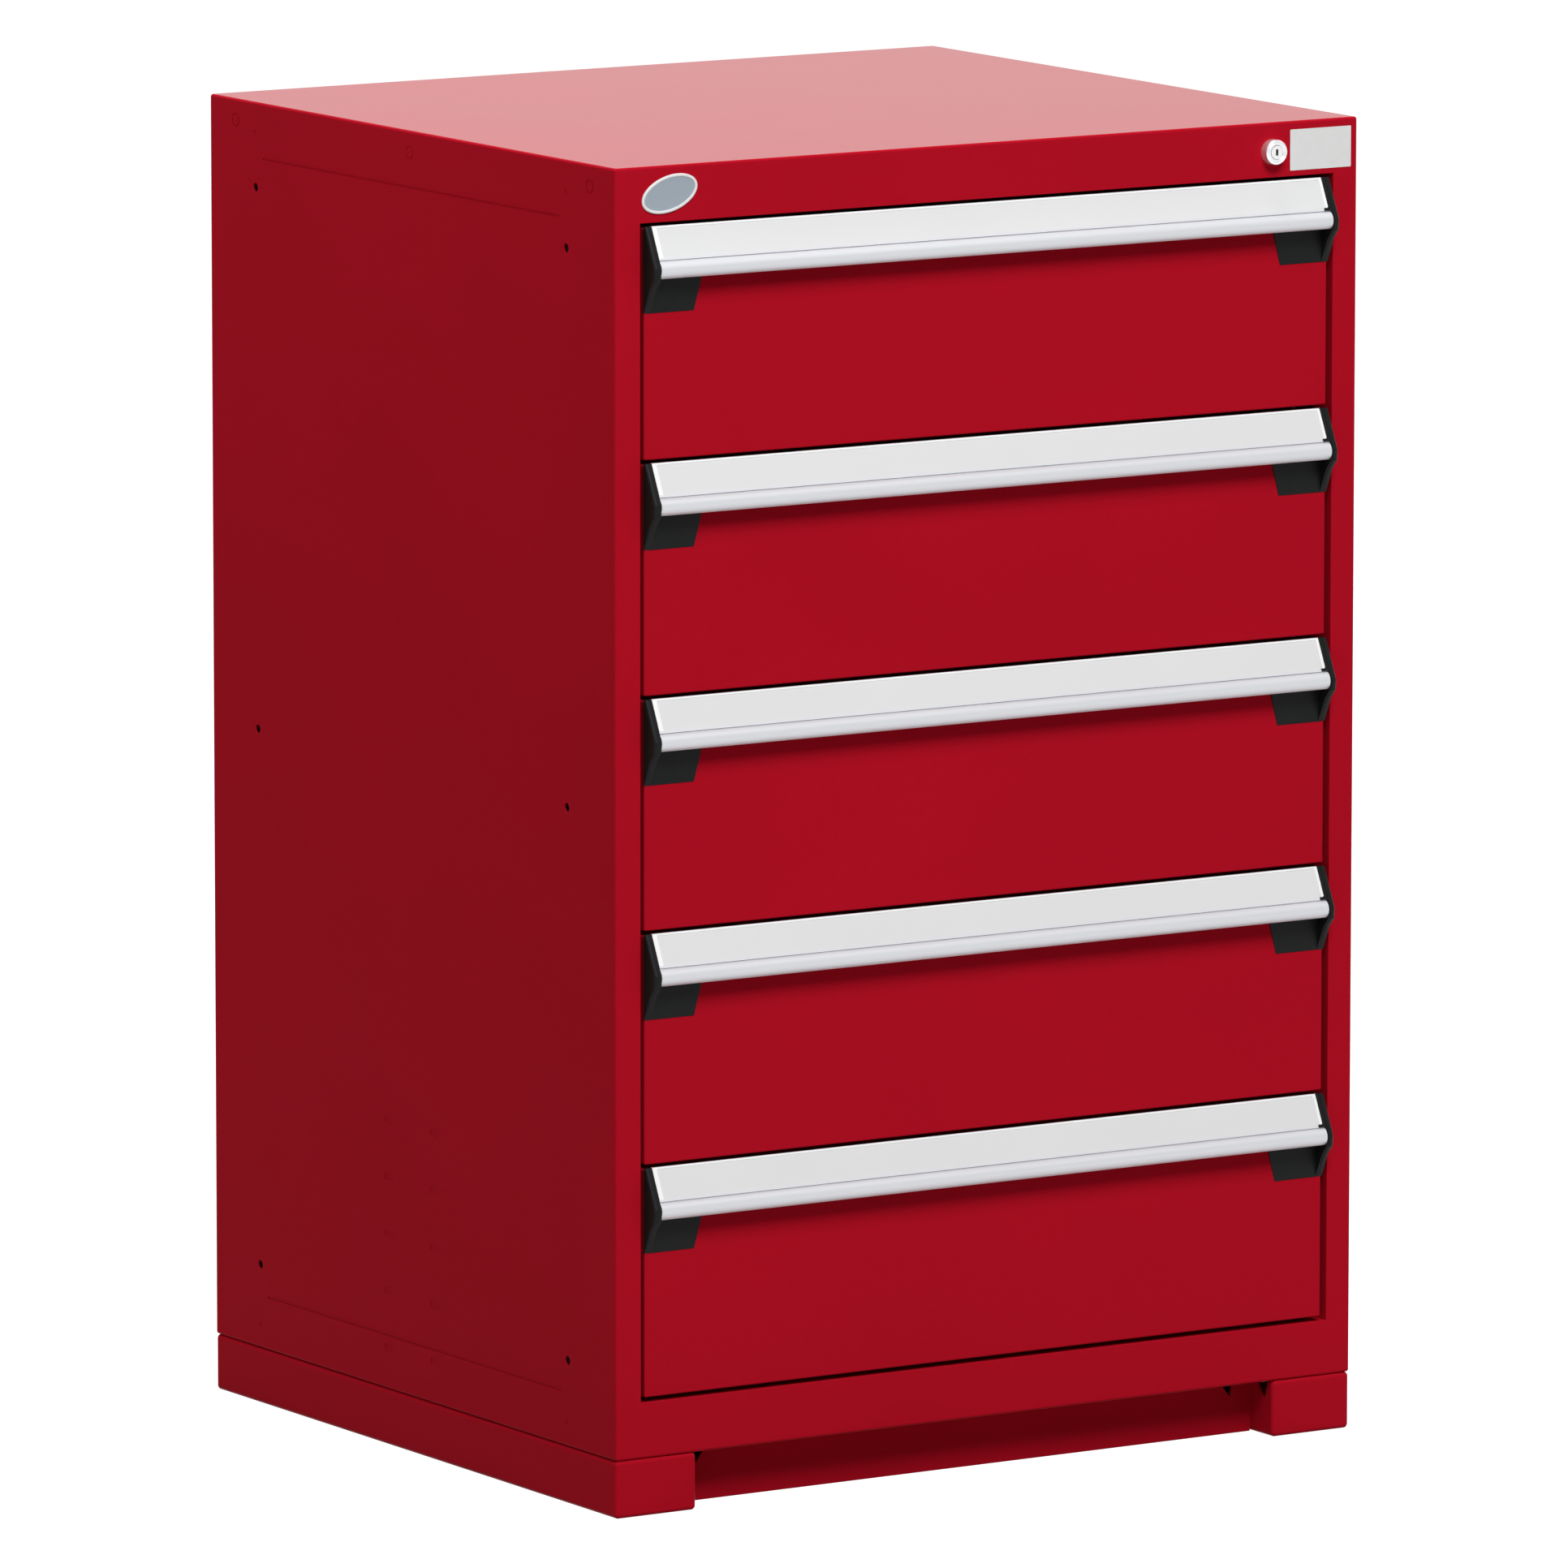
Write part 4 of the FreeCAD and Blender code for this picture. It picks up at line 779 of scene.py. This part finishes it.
class CABINET_OT_fit_end_caps(bpy.types.Operator):
    """Mould the black caps on both ends of every handle"""

    bl_idname = "cabinet.fit_end_caps"
    bl_label = "Fit end caps"

    def execute(self, context):
        sizes = context.scene.cabinet_sizes
        plastic = moulded_plastic(context.scene.cabinet_colours.cap)
        for number in DRAWERS:
            low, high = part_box(f"handle_caps_{number}")
            handle_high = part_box(f"handle_{number}")[1]
            nodes = [f"{name}_{number}" for name in ("handle", "drawer_front", "handle_caps")]
            halves = [half_width(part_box(name)) for name in nodes]
            shape = bmesh.new()
            for side in (-1, 1):
                add_cap(shape, sizes, ((low.x + high.x) / 2, side), halves, high.z, high.z - low.z)
            add_lap(shape, sizes, high.z, handle_high.x)
            piece = make_piece(
                f"end_caps_{number}", shape, plastic, f"drawer_{number}", sizes.cap_edge
            )
            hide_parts(f"handle_caps_{number}")
        return {"FINISHED"}


def add_turned(shape, centre, profile, closed):
    """A shape turned about a line square to the cabinet's front, from (radius, out) points."""
    loops = []
    for radius, out in profile:
        ring = circle((0, 0), radius, ROUND_STEPS)
        loops.append([on_front(centre, point, out) for point in ring])
    if closed:
        add_ring(shape, loops)
    else:
        add_loft(shape, loops)


class CABINET_OT_fit_lock(bpy.types.Operator):
    """Turn the lock's barrel with its rounded face, and put a dark plate in the keyway as painted shade"""

    bl_idname = "cabinet.fit_lock"
    bl_label = "Fit lock"

    def execute(self, context):
        sizes = context.scene.cabinet_sizes
        colours = context.scene.cabinet_colours
        chrome = polished_chrome(colours.chrome)
        coat(chrome, "lock_plug")
        low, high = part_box("lock_barrel")
        centre = ((low.x + high.x) / 2, (low.z + high.z) / 2)
        head = (high.x - low.x) / 2
        face = FRONT_Y - low.y
        bore = sizes.barrel_bore / 2
        body = sizes.barrel_body / 2
        turn = sizes.barrel_round
        profile = [(body, -sizes.barrel_length), (body, 0), (head, 0), (head, face - turn)]
        profile += [(head - turn / 8, face - turn / 2), (head - turn / 2, face - turn / 8)]
        profile += [(head - turn, face)]
        groove = (head + bore) / 2
        half = sizes.groove_half
        profile += [(groove + half, face), (groove, face - sizes.groove_depth), (groove - half, face)]
        profile += [(bore + sizes.bore_chamfer, face), (bore, face - sizes.bore_chamfer)]
        profile += [(bore, -sizes.barrel_length)]
        shape = bmesh.new()
        add_turned(shape, centre, profile, closed=True)
        barrel = make_piece("lock_face", shape, chrome, "housing")
        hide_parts("lock_barrel")
        self.fill_keyway(sizes, centre, face)
        return {"FINISHED"}

    def fill_keyway(self, sizes, centre, face):
        """A dark plate deep in the slot as painted shade, with the ridge of the keyway on it."""
        plate = rounded_rectangle(sizes.keyway_width, sizes.keyway_height, sizes.shadow_plate_corner, 3)
        ridge = rounded_rectangle(sizes.ridge_width, sizes.ridge_height, sizes.ridge_corner, 3)
        level = face - sizes.plug_recess - sizes.shadow_plate_depth
        shape = bmesh.new()
        self.add_slab(shape, centre, plate, level - sizes.shadow_plate_thickness, level)
        beside = (centre[0] + sizes.ridge_aside, centre[1])
        self.add_slab(shape, beside, ridge, level - sizes.ridge_root, level + sizes.ridge_rise)
        # The keyway's painted shade is made of the dark cap plastic.
        dark = bpy.data.materials["moulded_plastic"]
        make_piece("keyway_shutter", shape, dark, "lock_plug", sizes.shadow_plate_edge)

    def add_slab(self, shape, centre, outline, back, front):
        """A flat slab between two distances in front of the cabinet."""
        add_loft(shape, [[on_front(centre, point, out) for point in outline] for out in (back, front)])


class CABINET_OT_fit_badge(bpy.types.Operator):
    """Make the plain oval badge: a light raised rim round a satin field"""

    bl_idname = "cabinet.fit_badge"
    bl_label = "Fit badge"

    def execute(self, context):
        sizes = context.scene.cabinet_sizes
        colours = context.scene.cabinet_colours
        low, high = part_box("badge_plate")
        self.centre = ((low.x + high.x) / 2, (low.z + high.z) / 2)
        self.turn = Matrix.Rotation(sizes.badge_tilt, 2)
        self.half = (sizes.badge_length / 2, sizes.badge_height / 2)
        top = sizes.badge_thickness
        rim = sizes.badge_rim
        rim_profile = [(0, 0), (0, top * 0.6), (rim * 0.12, top * 0.85), (rim * 0.35, top)]
        rim_profile += [(rim * 0.65, top), (rim * 0.88, top * 0.85), (rim, top * 0.55), (rim, 0)]
        shape = bmesh.new()
        add_ring(shape, [self.loop(inset, out) for inset, out in rim_profile])
        enamel = badge_enamel("badge_rim_enamel", colours.badge_rim, 0.0)
        edge = make_piece("badge_rim", shape, enamel, "housing")
        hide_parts("badge_plate")
        field_profile = [(rim * 0.9, 0), (rim * 0.9, top * 0.5)]
        field_profile += [(rim * 1.1, top * 0.62), (rim * 1.6, top * 0.68)]
        shape = bmesh.new()
        add_loft(shape, [self.loop(inset, out) for inset, out in field_profile])
        satin = badge_enamel("badge_field_satin", colours.badge_field, 0.55)
        make_piece("badge_field", shape, satin, "housing")
        return {"FINISHED"}

    def loop(self, inset, out):
        points = [self.turn @ point for point in ellipse(*self.half, inset)]
        return [on_front(self.centre, point, out) for point in points]


class CABINET_OT_stick_sticker(bpy.types.Operator):
    """Stick the blank white sticker beside the lock"""

    bl_idname = "cabinet.stick_sticker"
    bl_label = "Stick sticker"

    def execute(self, context):
        sizes = context.scene.cabinet_sizes
        outline = rounded_rectangle(sizes.sticker_width, sizes.sticker_height, sizes.sticker_corner)
        right = CAD_BOX[1].x - sizes.sticker_inset
        top = CAD_BOX[1].z - sizes.sticker_drop
        centre = (right - sizes.sticker_width / 2, top - sizes.sticker_height / 2)
        shape = bmesh.new()
        loops = []
        for out in (0, sizes.sticker_thickness):
            loops.append([on_front(centre, point, out) for point in outline])
        add_loft(shape, loops)
        vinyl = vinyl_sheet(context.scene.cabinet_colours.sticker)
        make_piece("blank_sticker", shape, vinyl, "housing", sizes.sticker_thickness / 3)
        return {"FINISHED"}


class CABINET_OT_set_stage(bpy.types.Operator):
    """Lay the pale floor, light the studio and place the camera"""

    bl_idname = "cabinet.set_stage"
    bl_label = "Set stage"

    camera_place = Vector((-7.08554, -11.24910, 2.64477))
    camera_azimuth = -32.20138
    camera_elevation = 8.89196
    camera_roll = 0.0461
    camera_lens = 348.82
    floor_size = 60.0
    floor_gap = 0.2 * MM
    cabinet_middle = (0.0, 0.0, 0.6)
    key_place = (-1.4, -6.4, 8.0)
    key_size = 4.1
    top_place = (0.0, 0.5, 4.5)
    top_target = (0.0, 0.1, 1.2)
    top_size = 1.5
    side_place = (-1.9, 0.5, 2.3)
    side_target = (0.0, 0.0, 1.4)
    side_size = 0.8
    fill_place = (7.0, 2.6, 4.4)
    fill_size = 4.0

    def execute(self, context):
        studio = context.scene.cabinet_studio
        self.lay_floor(studio)
        self.light_room(context.scene, studio)
        self.hang_lamp("key_lamp", self.key_place, self.cabinet_middle, self.key_size, studio.key_power)
        self.hang_lamp("top_lamp", self.top_place, self.top_target, self.top_size, studio.top_power)
        self.hang_lamp("side_lamp", self.side_place, self.side_target, self.side_size, studio.side_power)
        self.hang_lamp("fill_lamp", self.fill_place, self.cabinet_middle, self.fill_size, studio.fill_power)
        self.place_camera(context.scene)
        context.scene.view_settings.view_transform = "Standard"
        return {"FINISHED"}

    def lay_floor(self, studio):
        """A white floor that keeps the cabinet's soft shadow."""
        half = self.floor_size / 2
        level = CAD_BOX[0].z - self.floor_gap
        shape = bmesh.new()
        corners = [(-half, -half), (half, -half), (half, half), (-half, half)]
        shape.faces.new([shape.verts.new((x, y, level)) for x, y in corners])
        data = bpy.data.meshes.new("floor")
        shape.to_mesh(data)
        shape.free()
        floor = bpy.data.objects.new("floor", data)
        bpy.context.scene.collection.objects.link(floor)
        data.materials.append(self.floor_material(studio))

    def floor_material(self, studio):
        material = bpy.data.materials.new("pale_floor")
        material.use_nodes = True
        graph = Graph(material.node_tree)
        shade = (studio.floor_shade,) * 3 + (1,)
        pale = graph.node("ShaderNodeBsdfDiffuse", {}, {"Color": (studio.floor,) * 3 + (1,)})
        thin = graph.node("ShaderNodeBsdfDiffuse", {}, {"Color": shade})
        glow = graph.node("ShaderNodeEmission", {}, {"Strength": studio.floor_glow})
        open_floor = graph.node("ShaderNodeAddShader", {}, {0: thin, 1: glow})
        seen = graph.node("ShaderNodeMixShader", {}, {0: self.is_covered(graph), 1: open_floor, 2: thin})
        mixed = graph.node("ShaderNodeMixShader", {}, {0: self.is_seen(graph), 1: pale, 2: seen})
        graph.node("ShaderNodeOutputMaterial", {}, {"Surface": mixed})
        return material

    def is_covered(self, graph):
        """1 under the cabinet, behind its kick plate, and 0 on the open floor."""
        low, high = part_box("kick_plate")[0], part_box("base_rear_channel")[1]
        middle = (low + high) / 2
        half = (high - low) / 2
        centred = graph.node("ShaderNodeVectorMath", {"operation": "SUBTRACT"}, {0: graph.place(), 1: middle})
        size = graph.node("ShaderNodeVectorMath", {"operation": "ABSOLUTE"}, {0: centred})
        across = graph.node("ShaderNodeSeparateXYZ", {}, {0: size}, "X")
        along = graph.node("ShaderNodeSeparateXYZ", {}, {0: size}, "Y")
        outside = (across > half.x) + (along > half.y)
        return outside < 0.5

    def is_seen(self, graph):
        """1 for rays from the camera, mirrors and glass, 0 for the light that falls on things."""
        kinds = ("Is Camera Ray", "Is Glossy Ray", "Is Transmission Ray")
        rays = [graph.node("ShaderNodeLightPath", {}, {}, kind) for kind in kinds]
        return (rays[0] + rays[1] + rays[2]) > 0.5

    def light_room(self, scene, studio):
        world = bpy.data.worlds.new("studio")
        world.use_nodes = True
        scene.world = world
        graph = Graph(world.node_tree)
        room = graph.node("ShaderNodeBackground", {}, {"Strength": studio.ambient})
        white = graph.node("ShaderNodeBackground", {}, {"Strength": 1.0})
        mixed = graph.node("ShaderNodeMixShader", {}, {0: self.is_seen(graph), 1: room, 2: white})
        graph.node("ShaderNodeOutputWorld", {}, {"Surface": mixed})

    def hang_lamp(self, name, place, target, size, power):
        light = bpy.data.lights.new(name, "AREA")
        light.shape = "DISK"
        light.size = size
        light.energy = power
        lamp = bpy.data.objects.new(name, light)
        lamp.location = place
        lamp.rotation_euler = (Vector(target) - Vector(place)).to_track_quat("-Z", "Y").to_euler()
        bpy.context.scene.collection.objects.link(lamp)

    def place_camera(self, scene):
        data = bpy.data.cameras.new("camera")
        data.lens = self.camera_lens
        camera = bpy.data.objects.new("camera", data)
        scene.collection.objects.link(camera)
        turn = Matrix.Rotation(math.radians(self.camera_azimuth), 4, "Z")
        tilt = Matrix.Rotation(math.radians(90 - self.camera_elevation), 4, "X")
        roll = Matrix.Rotation(math.radians(self.camera_roll), 4, "Z")
        camera.matrix_world = Matrix.Translation(self.camera_place) @ turn @ tilt @ roll
        scene.camera = camera


OPERATORS = (
    CABINET_OT_coat_sheet_metal,
    CABINET_OT_plate_slides,
    CABINET_OT_rivet_carriages,
    CABINET_OT_finish_handles,
    CABINET_OT_fit_labels,
    CABINET_OT_fit_end_caps,
    CABINET_OT_fit_lock,
    CABINET_OT_fit_badge,
    CABINET_OT_stick_sticker,
    CABINET_OT_set_stage,
)

GROUPS = {
    "cabinet_colours": CABINET_PG_colours,
    "cabinet_sizes": CABINET_PG_sizes,
    "cabinet_studio": CABINET_PG_studio,
}


class CABINET_PT_sidebar(bpy.types.Panel):
    """The cabinet's pieces, finishes and studio"""

    bl_idname = "CABINET_PT_sidebar"
    bl_label = "Drawer cabinet"
    bl_space_type = "VIEW_3D"
    bl_region_type = "UI"
    bl_category = "Cabinet"

    def draw(self, context):
        for operator in OPERATORS:
            self.layout.operator(operator.bl_idname)
        for name in GROUPS:
            group = getattr(context.scene, name)
            column = self.layout.column()
            for setting in group.__annotations__:
                column.prop(group, setting)


def register():
    for group in GROUPS.values():
        bpy.utils.register_class(group)
    for name, group in GROUPS.items():
        setattr(bpy.types.Scene, name, bpy.props.PointerProperty(type=group))
    for operator in OPERATORS:
        bpy.utils.register_class(operator)
    bpy.utils.register_class(CABINET_PT_sidebar)


def unregister():
    bpy.utils.unregister_class(CABINET_PT_sidebar)
    for operator in reversed(OPERATORS):
        bpy.utils.unregister_class(operator)
    for name, group in GROUPS.items():
        delattr(bpy.types.Scene, name)
        bpy.utils.unregister_class(group)


def main():
    register()
    for operator in OPERATORS:
        group, name = operator.bl_idname.split(".")
        getattr(getattr(bpy.ops, group), name)()


if __name__ == "__main__":
    main()
